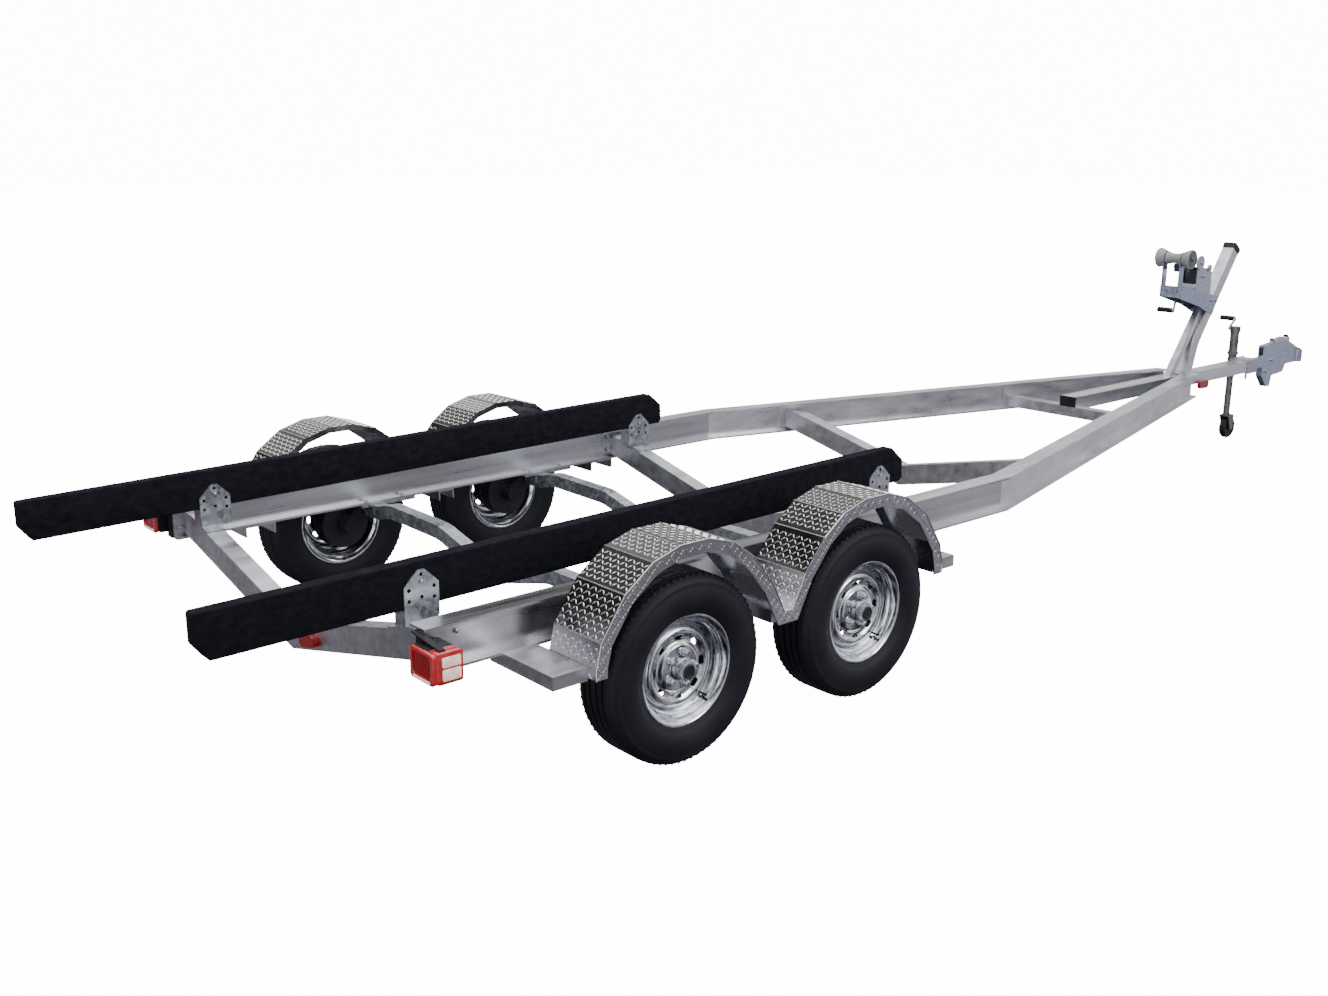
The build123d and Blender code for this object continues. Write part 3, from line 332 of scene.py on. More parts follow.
def bright_zinc_finish():
    """Plated bolts, nuts and rods."""
    made = Finish("zinc", {"Metallic": 1.0})
    clouds = made.noise(120.0, 4.0)
    made.colour(made.between(clouds, shade(colours().zinc, 1.0), shade(colours().zinc, 1.4)))
    made.rough(made.ease(clouds, 0.3, 0.7, 0.20, 0.38))
    made.bump(clouds, 0.3 * MM, 0.5)
    return made.material


def rim_finish():
    """Bright galvanised wheel: glossy, with soft dents of the zinc coat."""
    made = Finish("wheel_silver", {"Metallic": 1.0})
    ripples = made.noise(38.0, 3.0)
    crystals = made.cells(90.0)
    made.colour(made.between(made.ease(ripples, 0.35, 0.65), shade(colours().rim, 0.86),
                             shade(colours().rim, 1.14)))
    made.rough(made.ease(crystals * 0.5 + ripples * 0.5, 0.2, 0.8, 0.08, 0.20))
    made.bump(ripples, 1.0 * MM, 0.5)
    return made.material


def plate_finish():
    """Ground of the tread plate: dark on the arches as painted dark reflection, light underneath
    where the bare plate shows, and bright low down, inside and outwards as painted reflection.
    """
    made = Finish("tread_plate", {"Metallic": 1.0})
    clouds = made.noise(12.0, 4.0)
    ground = made.between(clouds, shade(colours().plate, 0.7), shade(colours().plate, 1.35))
    # painted reflection: pale lavender low down and on the skirts, with the bare plate's light
    # colour on faces turned down
    lower = made.ease(made.axis("Z"), 0.60, 0.48) * 0.8
    slopes = made.node("ShaderNodeSeparateXYZ", {
        "Vector": made.node("ShaderNodeNewGeometry").outputs["True Normal"]})
    under = made.ease(slopes.outputs["Z"], -0.04, -0.08)
    across = made.axis("Y") * Wire(made, slopes.outputs["Y"])
    inward = made.ease(across, -0.2, -0.4)
    outward = made.ease(across, 0.9, 1.05) * 0.75
    hidden = made.ease(under + inward + outward, 0.0, 1.0)
    bare_metal_and_reflection = lower + hidden * (1 - lower)
    made.colour(made.between(bare_metal_and_reflection, ground, (0.86, 0.86, 0.93, 1.0)))
    made.rough(made.ease(clouds, 0.3, 0.7, 0.16, 0.30))
    made.bump(made.noise(30.0, 2.0), 1.0 * MM, 0.4)
    return made.material


def lozenge_finish():
    """Bright raised lozenges of the tread plate."""
    made = Finish("tread_lozenge", {"Metallic": 1.0})
    worn = made.noise(90.0, 3.0)
    made.colour(made.between(worn, (0.50, 0.49, 0.48, 1.0), (0.86, 0.85, 0.84, 1.0)))
    made.rough(made.ease(worn, 0.3, 0.7, 0.14, 0.28))
    made.bump(worn, 0.4 * MM, 0.4)
    return made.material


def iron_finish():
    """Dark cast drum."""
    made = Finish("drum_iron", {"Metallic": 0.7})
    grit = made.noise(220.0, 6.0)
    patches = made.noise(18.0, 4.0)
    made.colour(made.between(patches, (0.018, 0.018, 0.022, 1.0), (0.055, 0.055, 0.065, 1.0)))
    made.rough(made.ease(patches, 0.3, 0.7, 0.38, 0.62))
    made.bump(grit, 0.6 * MM, 0.7)
    return made.material


def carpet_finish():
    """Short black pile with a little blue in it."""
    made = Finish("carpet", {"Specular IOR Level": 0.02})
    pile = made.noise(900.0, 3.0, rough=0.7)
    lie = made.noise(26.0, 4.0, (1.0, 1.0, 1.6))
    tufts = made.noise(240.0, 2.0)
    made.colour(made.between(made.ease(lie * 0.5 + pile * 0.5, 0.35, 0.65),
                             shade(colours().carpet, 0.6), shade(colours().carpet, 1.7)))
    made.rough(made.ease(pile, 0.3, 0.7, 0.82, 1.0))
    made.bump(pile * 0.6 + tufts * 0.4, 1.8 * MM, 0.9)
    return made.material


def rubber_finish():
    """Tyre rubber with fine rings on the side wall and a matt, dusty tread.

    The UV map runs once round the wheel in U and from bead to bead in V.
    """
    made = Finish("tyre_rubber", {"Specular IOR Level": 0.32})
    across = made.axis("Y", uv=True)
    round_turn = made.axis("X", uv=True)
    rings = made.ease((across * 1450.0).sine(), -1.0, 1.0)
    slots = made.ease((round_turn * 720.0).sine(), 0.55, 0.8)
    grain = made.noise(420.0, 3.0)
    dust = made.noise(7.0, 5.0)
    made.colour(made.between(made.ease(dust, 0.4, 0.75), shade(colours().rubber, 1.0),
                             shade(colours().rubber, 2.0)))
    made.rough(made.ease(dust * 0.6 + grain * 0.4, 0.3, 0.7, 0.44, 0.64))
    made.bump(rings * 0.22 + grain * 0.5 + slots * 0.12, 0.7 * MM, 0.6)
    return made.material


def roller_finish():
    """Grey marine rubber, a little chalky."""
    made = Finish("grey_rubber", {})
    chalk = made.noise(40.0, 5.0)
    grain = made.noise(500.0, 2.0)
    made.colour(made.between(chalk, shade(colours().roller, 0.82), shade(colours().roller, 1.25)))
    made.rough(made.ease(chalk, 0.3, 0.7, 0.42, 0.62))
    made.bump(grain, 0.3 * MM, 0.5)
    return made.material


def plastic_finish():
    """Moulded black plastic."""
    made = Finish("black_plastic", {"Specular IOR Level": 0.2})
    grain = made.noise(650.0, 2.0)
    scuffs = made.noise(50.0, 5.0)
    made.colour(made.between(scuffs, (0.006, 0.006, 0.007, 1.0), (0.018, 0.018, 0.020, 1.0)))
    made.rough(made.ease(scuffs, 0.3, 0.7, 0.34, 0.52))
    made.bump(grain, 0.25 * MM, 0.6)
    return made.material


def lens_finish(name="red_lens", depth=1.0, coat=0.5, glow=0.02):
    """Moulded lens: small prisms behind a glossy face."""
    made = Finish(name, {"Coat Weight": coat, "Coat Roughness": 0.10,
                         "Emission Strength": glow})
    prisms = made.cells(170.0, "Distance")
    clouds = made.noise(24.0, 3.0)
    inner = made.between(made.ease(prisms + clouds * 0.4, 0.2, 0.8), shade(colours().lens, depth),
                         shade(colours().lens, depth * 0.42))
    made.colour(inner)
    made.feed(made.shader.inputs["Emission Color"], inner)
    made.rough(made.ease(clouds, 0.3, 0.7, 0.12, 0.24))
    made.bump(prisms, 1.2 * MM, 0.4)
    return made.material


def deep_lens_finish():
    """Darker red of the lamp's middle, seen down into its bowl."""
    return lens_finish("deep_lens", 0.5, 0.1, 0.6)


def clear_lens_finish():
    """Pale lens of the lamp's side; the strip under its bowl takes it too, as a painted glint."""
    made = Finish("clear_lens", {"Coat Weight": 0.8, "Coat Roughness": 0.06,
                                 "Emission Strength": 0.35})
    clouds = made.noise(30.0, 3.0)
    milky = made.between(made.ease(clouds, 0.4, 0.62), (0.98, 0.60, 0.48, 1.0),
                         (1.0, 0.92, 0.82, 1.0))
    made.colour(milky)
    made.feed(made.shader.inputs["Emission Color"], milky)
    made.rough(made.ease(clouds, 0.3, 0.7, 0.14, 0.26))
    made.bump(made.cells(210.0, "Distance"), 1.0 * MM, 0.4)
    return made.material


def lamp_frame_finish():
    """Brighter ring round the lamp's lens, where the light catches its edge."""
    made = Finish("lamp_frame", {"Coat Weight": 0.7, "Coat Roughness": 0.08})
    clouds = made.noise(60.0, 3.0)
    made.colour(made.between(clouds, shade(colours().lens, 0.9), (0.66, 0.035, 0.04, 1.0)))
    made.rough(made.ease(clouds, 0.3, 0.7, 0.14, 0.26))
    return made.material


def strap_finish():
    """Dark woven webbing."""
    made = Finish("strap", {"Sheen Weight": 0.2})
    warp = made.ease((made.axis("Y") * 2600.0).sine(), -1.0, 1.0)
    weft = made.ease((made.axis("Z") * 2100.0).sine(), -1.0, 1.0)
    fuzz = made.noise(160.0, 4.0)
    made.colour(made.between(fuzz, (0.010, 0.012, 0.022, 1.0), (0.045, 0.050, 0.075, 1.0)))
    made.rough(made.ease(fuzz, 0.3, 0.7, 0.7, 0.9))
    made.bump(warp * weft, 0.8 * MM, 0.6)
    return made.material


def floor_finish():
    """Pale seamless floor with a very faint texture, as bright as the room behind."""
    made = Finish("studio_floor", {"Emission Strength": ROOM_SEEN,
                                   "Emission Color": (1.0, 1.0, 1.0, 1.0)})
    clouds = made.noise(0.8, 3.0)
    made.colour(made.between(clouds, shade(colours().floor, 0.99), shade(colours().floor, 1.01)))
    made.rough(made.ease(clouds, 0.3, 0.7, 0.80, 0.90))
    return made.material


MAKERS = {
    "frame_aluminium": aluminium_finish, "tread_plate": plate_finish,
    "tread_lozenge": lozenge_finish, "galvanised": galvanised_finish,
    "blue_zinc": blue_zinc_finish, "worn_zinc": worn_zinc_finish,
    "zinc": bright_zinc_finish, "wheel_silver": rim_finish, "drum_iron": iron_finish,
    "carpet": carpet_finish, "tyre_rubber": rubber_finish, "grey_rubber": roller_finish,
    "black_plastic": plastic_finish, "red_lens": lens_finish, "deep_lens": deep_lens_finish,
    "clear_lens": clear_lens_finish, "lamp_frame": lamp_frame_finish, "strap": strap_finish,
    "studio_floor": floor_finish,
}
FINISHES = {}                   # finishes made so far


def finish(name):
    """The finish of that name, made the first time that it is asked for."""
    if name not in FINISHES:
        FINISHES[name] = MAKERS[name]()
    return FINISHES[name]


# ---- Mesh pieces ---------------------------------------------------------------------------
BEVEL_ANGLE = math.radians(30)  # edges that bend more than this get a bevel
WELD = 1e-6                     # points closer than this are one
CAD_WELD = 1e-5
CAD_FLAT = math.radians(0.5)    # triangles that bend less than this are one face


def tube_faces(count):
    """Both ends and the walls of a closed tube, from two loops of that many points."""
    ends = [tuple(range(count)), tuple(range(2 * count - 1, count - 1, -1))]
    return ends + [(i, (i + 1) % count, count + (i + 1) % count, count + i)
                   for i in range(count)]


class Form:
    """Closed shapes that are gathered into one mesh."""

    def __init__(self):
        self.mesh = bmesh.new()
        self.uv = self.mesh.loops.layers.uv.new("UVMap")

    def add(self, points, faces):
        made = [self.mesh.verts.new(point) for point in points]
        for face in faces:
            self.mesh.faces.new([made[i] for i in face])

    def block(self, low_corner, high_corner):
        (x0, y0, z0), (x1, y1, z1) = low_corner, high_corner
        self.prism([(x0, y0), (x1, y0), (x1, y1), (x0, y1)], "z", z0, z1)

    def prism(self, outline, across, start, end):
        """An outline in the other two axes, extruded along one."""
        order = {"x": (1, 2, 0), "y": (0, 2, 1), "z": (0, 1, 2)}[across]
        points = []
        for distance in (start, end):
            for first, second in outline:
                point = [0.0, 0.0, 0.0]
                point[order[0]], point[order[1]], point[order[2]] = first, second, distance
                points.append(point)
        self.add(points, tube_faces(len(outline)))

    def lathe(self, profile, centre, side=1, steps=96):
        """A closed profile of radius and distance in mm, turned about Y through the centre."""
        profile = [(radius * MM, away * side * MM) for radius, away in profile]
        runs = [0.0]
        for (r0, a0), (r1, a1) in zip(profile, profile[1:] + profile[:1]):
            runs.append(runs[-1] + math.hypot(r1 - r0, a1 - a0))
        turns = [2 * math.pi * i / steps for i in range(steps)]
        rings = []
        for radius, away in profile:
            offsets = [(radius * math.cos(turn), away, -radius * math.sin(turn)) for turn in turns]
            rings.append([self.mesh.verts.new(centre + Vector(offset)) for offset in offsets])
        for j, ring in enumerate(rings):
            after = rings[(j + 1) % len(rings)]
            for i in range(steps):
                k = (i + 1) % steps
                face = self.mesh.faces.new((ring[i], ring[k], after[k], after[i]))
                corners = ((i, j), (i + 1, j), (i + 1, j + 1), (i, j + 1))
                for loop, (turn, run) in zip(face.loops, corners):
                    loop[self.uv].uv = (turn / steps, runs[run])

    def bar(self, start, end, radius, sides=24, end_radius=None):
        """A round bar, or a cone if the end has a radius of its own."""
        start, end = Vector(start), Vector(end)
        axis = (end - start).normalized()
        u = axis.orthogonal().normalized()
        v = axis.cross(u)
        points = []
        for centre, size in ((start, radius), (end, end_radius or radius)):
            for i in range(sides):
                turn = 2 * math.pi * (i + 0.5) / sides
                points.append(centre + (u * math.cos(turn) + v * math.sin(turn)) * size)
        self.add(points, tube_faces(sides))

    def mesh_data(self, name):
        """Ends the form as mesh data with all faces outwards."""
        bmesh.ops.remove_doubles(self.mesh, verts=self.mesh.verts, dist=WELD)
        bmesh.ops.recalc_face_normals(self.mesh, faces=self.mesh.faces)
        data = bpy.data.meshes.new(name)
        self.mesh.to_mesh(data)
        self.mesh.free()
        return data

    def pattern(self, name):
        """Ends the form as a hidden object that a scatter or a cut uses."""
        return bpy.data.objects.new(name, self.mesh_data(name))

    def piece(self, name, finish_name, body, slot, **settings):
        """Ends the form as a mesh object that rides on a body."""
        return settle(name, self.mesh_data(name), finish_name, body, slot, **settings)


def settle(name, data, finish_name, body, slot, bevel=0.0, segments=2, sharp=38.0,
           stands_for=()):
    """Links a mesh as a finished piece of the trailer."""
    made = bpy.data.objects.new(name, data)
    bpy.context.scene.collection.objects.link(made)
    if bevel:
        edge = made.modifiers.new("edge", "BEVEL")
        edge.width = bevel
        edge.segments = segments
        edge.limit_method = "ANGLE"
        edge.angle_limit = BEVEL_ANGLE
        baked(made)
    smoothed(made.data, sharp)
    made.data.materials.clear()
    made.data.materials.append(finish(finish_name))
    if stands_for:
        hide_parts(*stands_for)
    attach(made, body)
    return made


def smoothed(data, sharp=38.0):
    """Smooth shading that breaks at edges sharper than an angle in degrees."""
    data.shade_smooth()
    data.set_sharp_from_angle(angle=math.radians(sharp))


def baked(made):
    """Turns the object's modifiers into plain mesh."""
    graph = bpy.context.evaluated_depsgraph_get()
    graph.update()
    data = bpy.data.meshes.new_from_object(made.evaluated_get(graph))
    made.modifiers.clear()
    made.data = data


def merged_mesh(node):
    """A copy of a CAD node's mesh with its loose triangles joined into flat faces."""
    mesh = bmesh.new()
    mesh.from_mesh(NODES[node].data)
    bmesh.ops.remove_doubles(mesh, verts=mesh.verts, dist=CAD_WELD)
    bmesh.ops.dissolve_limit(mesh, angle_limit=CAD_FLAT, verts=mesh.verts, edges=mesh.edges)
    return mesh


# ---- Geometry Nodes ------------------------------------------------------------------------
def scatter_tree():
    """Puts a shape on each point, turned and sized by the point's own attributes."""
    group = bpy.data.node_groups.new("scatter", "GeometryNodeTree")
    for label, kind in (("Geometry", "NodeSocketGeometry"), ("Shape", "NodeSocketObject"),
                        ("Size", "NodeSocketFloat"), ("Material", "NodeSocketMaterial")):
        group.interface.new_socket(label, in_out="INPUT", socket_type=kind)
    group.interface.new_socket("Geometry", in_out="OUTPUT", socket_type="NodeSocketGeometry")
    tree = Nodes(group)
    start = tree.node("NodeGroupInput").outputs
    shape = tree.node("GeometryNodeObjectInfo", {"Object": start["Shape"]})
    turn = tree.node("GeometryNodeInputNamedAttribute", {"Name": "turn"},
                     data_type="FLOAT_VECTOR")
    grow = tree.node("GeometryNodeInputNamedAttribute", {"Name": "grow"}, data_type="FLOAT")
    size = Wire(tree, grow.outputs[0]) * start["Size"]
    points = tree.node("GeometryNodeInstanceOnPoints", {
        "Points": start["Geometry"], "Instance": shape.outputs["Geometry"],
        "Rotation": turn.outputs[0], "Scale": size})
    real = tree.node("GeometryNodeRealizeInstances", {"Geometry": points.outputs[0]})
    painted = tree.node("GeometryNodeSetMaterial", {
        "Geometry": real.outputs[0], "Material": start["Material"]})
    tree.node("NodeGroupOutput", {0: painted.outputs[0]})
    return group


def scattered(name, shape, places, finish_name, body, slot, size=1.0):
    """One mesh of a shape repeated at places, each a point, a rotation and a share of the size."""
    data = bpy.data.meshes.new(name)
    data.from_pydata([place[0] for place in places], [], [])
    data.attributes.new("turn", "FLOAT_VECTOR", "POINT")
    data.attributes.new("grow", "FLOAT", "POINT")
    for i, (_, rotation, share) in enumerate(places):
        data.attributes["turn"].data[i].vector = rotation.to_euler()
        data.attributes["grow"].data[i].value = share
    made = bpy.data.objects.new(name, data)
    bpy.context.scene.collection.objects.link(made)
    modifier = made.modifiers.new("scatter", "NODES")
    modifier.node_group = bpy.data.node_groups.get("scatter") or scatter_tree()
    keys = {item.name: item.identifier for item in modifier.node_group.interface.items_tree
            if item.in_out == "INPUT"}
    modifier[keys["Shape"]] = shape
    modifier[keys["Size"]] = size
    modifier[keys["Material"]] = finish(finish_name)
    baked(made)
    data = made.data
    bpy.data.objects.remove(made)
    return settle(name, data, finish_name, body, slot)


# ---- Tyres and wheels ----------------------------------------------------------------------
TYRE_SIDE = [                   # radius and distance from the middle, bead to shoulder, in mm
    (178.4, 69.8), (187.0, 73.8), (196.3, 77.6), (198.6, 85.0), (203.0, 88.2), (208.0, 88.8),
    (212.0, 91.8), (226.0, 97.2), (241.0, 100.4), (257.0, 101.5), (273.0, 100.6), (289.0, 97.8),
    (299.0, 95.0), (303.0, 95.6), (307.0, 94.0), (315.0, 89.0), (323.0, 81.6), (328.6, 73.6),
    (331.0, 65.0),
]
GROOVES = (47.0, 16.0)          # round grooves, from the middle
GROOVE_HALF = 3.6
GROOVE_SLOPE = (1, -0.6)        # how much wider than that at the top, and at the bottom
TYRE_STEPS = 128                # corners of a tyre's round
LUG_HALF, LUG_END = 4.6, 3.4    # half width of a shoulder lug at its outer and inner end
LUG_LONG = 9                    # half its length
LUG_SUNK, LUG_PROUD = -2.0, 0.4
LUG_RADIUS, LUG_OUT = 323.5, 80.6       # its place on the shoulder
LUG_LEAN = math.radians(52)


def wheel_centre(name):
    """Middle of a wheel, and its side: 1 on the left, -1 on the right."""
    centre = middle("tyre_" + name)
    return centre, 1 if centre.y > 0 else -1


def tyre_profile():
    """The whole cross-section, from the outer bead over the tread to the inner bead."""
    depth = sizes().groove_depth / MM
    top = TYRE_RADIUS / MM
    half = list(TYRE_SIDE)
    for groove in GROOVES:
        upper, lower = (GROOVE_HALF + slope for slope in GROOVE_SLOPE)
        half += [(top, groove + upper), (top - depth, groove + lower),
                 (top - depth, groove - lower), (top, groove - upper)]
    return half + [(radius, -away) for radius, away in reversed(half)]


def make_tyres():
    for name in WHEELS:
        centre, side = wheel_centre(name)
        tyre = Form()
        tyre.lathe(tyre_profile(), centre, side, TYRE_STEPS)
        tyre.piece("tyre_carcass_" + name, "tyre_rubber", "wheel_" + name, "tyre_rubber",
                   stands_for=("tyre_" + name,))
        make_shoulder_lugs(name, centre)


def make_shoulder_lugs(name, centre):
    """Low lugs round both shoulders of a tyre."""
    lug = Form()
    lug.prism([(-LUG_HALF * MM, -LUG_LONG * MM), (LUG_HALF * MM, -LUG_LONG * MM),
               (LUG_END * MM, LUG_LONG * MM), (-LUG_END * MM, LUG_LONG * MM)],
              "z", LUG_SUNK * MM, LUG_PROUD * MM)
    shape = lug.pattern("lug")
    places = []
    count = sizes().shoulder_lugs
    for side in (-1, 1):
        for i in range(count):
            turn = 2 * math.pi * i / count
            spoke = Vector((math.cos(turn), 0, math.sin(turn)))
            out = spoke * math.cos(LUG_LEAN) + LEFT * side * math.sin(LUG_LEAN)
            point = centre + (spoke * LUG_RADIUS + LEFT * side * LUG_OUT) * MM
            round_way = spoke.cross(LEFT)
            basis = Matrix((round_way, out.cross(round_way), out)).transposed()
            places.append((point, basis.to_quaternion(), 1.0))
    scattered("tyre_lugs_" + name, shape, places, "tyre_rubber", "wheel_" + name, "tyre_rubber")
    bpy.data.objects.remove(shape)


RIM_FRONT = [                   # radius and distance, from the flange's lip in to the disc
    (195.4, 81.0), (195.4, 83.4), (192.6, 84.0), (189.4, 83.6), (184.0, 79.0), (176.0, 73.6),
    (173.6, 70.0), (172.4, 57.0), (171.0, 53.0), (166.8, 50.0), (165.4, 46.6), (164.6, 41.0),
    (160.4, 37.6), (156.8, 35.6), (155.2, 30.0), (154.2, 21.0),
]
RIM_DISC = [                    # front of the disc, outwards in
    (146.0, 33.0), (138.0, 41.0), (128.0, 45.6), (119.0, 44.4), (110.0, 38.6), (102.0, 35.2),
    (94.0, 35.0), (87.0, 38.6), (81.0, 44.6), (75.0, 46.2), (48.0, 46.2), (43.0, 47.6),
    (41.0, 46.6),
]
RIM_BACK = [                    # outside of the barrel, from the disc's back out to the lip
    (154.2, -30.0), (166.0, -42.0), (171.6, -62.0), (173.6, -70.0), (188.0, -80.0),
    (190.0, -84.0), (195.4, -84.0), (195.4, -80.0), (178.0, -72.0), (177.4, -50.0),
    (160.4, -32.0), (160.4, 30.0), (177.4, 50.0), (178.0, 72.0), (188.0, 77.0),
]
DISC_THICK = 6.0
DISC_EDGE = (154.2, 12.0)       # where the disc's back meets the barrel
VENTS = 8
VENT_RADIUS = 103               # from the wheel's middle
VENT_ROUND = 8.5                # radius of an oval's ends, and half its straight part
VENT_CORNERS = 24
VENT_CUT = (18, 60)             # the cut starts and ends at these distances


def make_rims():
    for name in WHEELS:
        centre, side = wheel_centre(name)
        disc_back = [(radius, away - DISC_THICK) for radius, away in reversed(RIM_DISC)]
        rim = Form()
        rim.lathe(RIM_FRONT + RIM_DISC + disc_back + [DISC_EDGE] + RIM_BACK, centre, side)
        made = rim.piece("rim_" + name, "wheel_silver", "wheel_" + name, "wheel_silver",
                         stands_for=("wheel_rim_" + name,))
        cut_vents(made, centre, side)


def cut_vents(made, centre, side):
    """Cuts the oval holes in the disc."""
    cutter = Form()
    for i in range(VENTS):
        turn = 2 * math.pi * i / VENTS
        spoke = Vector((math.sin(turn), 0, math.cos(turn)))
        across = Vector((math.cos(turn), 0, -math.sin(turn)))
        points = []
        for distance in VENT_CUT:
            for k in range(VENT_CORNERS):
                angle = 2 * math.pi * k / VENT_CORNERS
                end = VENT_ROUND if math.cos(angle) > 0 else -VENT_ROUND
                flat = across * (end + math.cos(angle) * VENT_ROUND)
                up = spoke * (VENT_RADIUS + math.sin(angle) * VENT_ROUND)
                points.append(centre + (flat + up + LEFT * side * distance) * MM)
        cutter.add(points, tube_faces(VENT_CORNERS))
    tool = cutter.pattern("vent_cutter")
    bpy.context.scene.collection.objects.link(tool)
    cut = made.modifiers.new("vents", "BOOLEAN")
    cut.object = tool
    cut.operation = "DIFFERENCE"
    cut.solver = "EXACT"
    baked(made)
    smoothed(made.data)
    bpy.data.objects.remove(tool)


NUTS = 5
NUT_START = 0.3                 # turn of the first nut in radians
NUT_SEAT = 45.5                 # from the wheel's middle
NUT_STEPS = [                   # from, to, shares of the radius at each end, sides
    (0, 3, 1.12, 1.0, 24), (3, 19, 1.0, 1.0, 6), (19, 24, 0.86, 0.5, 6),
]
HUB_PIECES = [                  # name, finish, node it stands for, corners, radius and distance
    ("drum_hub_", "drum_iron", ("hub_",), 64, [
        (19.1, -54), (115, -53), (117.6, -46), (117.6, -60), (112, -57), (46, -56), (44, -10),
        (44, 24), (71.6, 24), (71.6, 38.8), (39.2, 38.8), (39.2, 44), (19.1, 44)]),
    ("hub_barrel_", "zinc", (), 64, [
        (19.2, 44), (39.0, 44), (39.0, 64), (36, 66), (33.5, 68), (33.2, 87), (31.6, 91),
        (29, 92), (1, 92), (1, 52.2), (19.2, 52.2)]),
    ("hub_cap_", "drum_iron", (), 48, [
        (1, 90), (23, 90), (24.4, 91), (24.4, 94), (22, 96.6), (19, 97), (17, 95.4),
        (1, 95.4)]),
]
VALVE_FOOT = (96, 36, -115.5)   # from the wheel's middle: along, outwards and up
VALVE_STEM, VALVE_CAP = 26, 36  # where they end, from the foot


def make_wheel_hardware():
    """Lug nuts, drum, hub, cap and valve of each wheel."""
    for name in WHEELS:
        centre, side = wheel_centre(name)
        make_lug_nuts(name, centre, LEFT * side)
        for label, finish_name, stands_for, steps, profile in HUB_PIECES:
            form = Form()
            form.lathe(profile, centre, side, steps)
            form.piece(label + name, finish_name, "wheel_" + name, finish_name,
                       stands_for=[node + name for node in stands_for])
        along, out, up = VALVE_FOOT
        foot = centre + Vector((along, out * side, up)) * MM
        stem, cap = (foot + LEFT * side * reach * MM for reach in (VALVE_STEM, VALVE_CAP))
        valve = Form()
        valve.bar(foot, stem, 4.2 * MM, 16, 3.6 * MM)
        valve.bar(stem, cap, 4.6 * MM, 12)
        valve.piece("valve_" + name, "black_plastic", "wheel_" + name, "black_plastic")


def make_lug_nuts(name, centre, out):
    nuts = Form()
    radius = sizes().nut_size / math.sqrt(3)
    for i in range(NUTS):
        turn = 2 * math.pi * i / NUTS + NUT_START
        spoke = Vector((math.sin(turn), 0, math.cos(turn)))
        seat = centre + spoke * sizes().lug_circle + out * NUT_SEAT * MM
        for start, end, wide, narrow, sides in NUT_STEPS:
            nuts.bar(seat + out * start * MM, seat + out * end * MM, radius * wide, sides,
                     radius * narrow)
    nuts.piece("lug_nuts_" + name, "zinc", "wheel_" + name, "zinc", bevel=0.8 * MM)


# ---- Fenders -------------------------------------------------------------------------------
# the fold beads are bright strips along the bends: painted highlights, in the lozenges' finish
FOLD_BEAD = 2.6 * MM
FOLD_ANGLE = math.radians(8)    # faces that meet at more than this have a bead between them
SKIN_AREA = 0.003               # smallest flat of an arch, in square metres
SKIRT_AREA = 0.02               # smallest skirt
ARCH_RISE = 0.05                # an arch's normals point away from this far below the axle
LOZENGE_SUNK = 0.3 * MM
LOZENGE_WAIST = 0.4             # where its straight sides end, as a share of its half length
LOZENGE_TOP = (0.62, 0.5)       # share of its length and width at the top
LOZENGE_CLEAR = 0.38            # share of its length that has to be on the plate, either way


def lozenge_shape():
    """A raised lozenge with sloped sides, standing on z = 0."""
    length, width = sizes().tread_length / 2, sizes().tread_width / 2
    waist = length * LOZENGE_WAIST
    rim = [(-length, 0), (-waist, -width), (waist, -width), (length, 0), (waist, width),
           (-waist, width)]
    points = [(x, y, -LOZENGE_SUNK) for x, y in rim]
    points += [(x * LOZENGE_TOP[0], y * LOZENGE_TOP[1], sizes().tread_height) for x, y in rim]
    form = Form()
    form.add(points, tube_faces(len(rim)))
    return form.pattern("lozenge")


def plate_facets(node, side):
    """One side's fender: normal and corners of each flat outer face, and the folds between."""
    mesh = merged_mesh(node)
    skins = []
    hubs = [wheel_centre(wheel)[0].x for wheel in ("rear_left", "front_left")]
    for face in mesh.faces:
        centre = face.calc_center_median()
        if centre.y * side < 0:
            continue
        near_x = min(hubs, key=lambda x: abs(x - centre.x))
        away = Vector((centre.x - near_x, 0, centre.z - TYRE_RADIUS + ARCH_RISE))
        arch = abs(face.normal.y) < 0.1 and face.normal.dot(away) > 0.1
        skirt = face.normal.y * side > 0.9
        area = face.calc_area()
        if arch and area > SKIN_AREA or skirt and area > SKIRT_AREA:
            skins.append(face)
    facets = [(face.normal.copy(), [vert.co.copy() for vert in face.verts]) for face in skins]
    folds = [tuple(vert.co.copy() for vert in edge.verts) for edge in mesh.edges
             if len(edge.link_faces) == 2 and all(face in skins for face in edge.link_faces)
             and edge.calc_face_angle() > FOLD_ANGLE]
    mesh.free()
    return facets, folds


def inside(point, outline):
    """True if a 2D point is inside a 2D outline."""
    hit = False
    for (x0, y0), (x1, y1) in zip(outline, outline[1:] + outline[:1]):
        if (y0 > point[1]) != (y1 > point[1]):
            if point[0] < (x1 - x0) * (point[1] - y0) / (y1 - y0) + x0:
                hit = not hit
    return hit


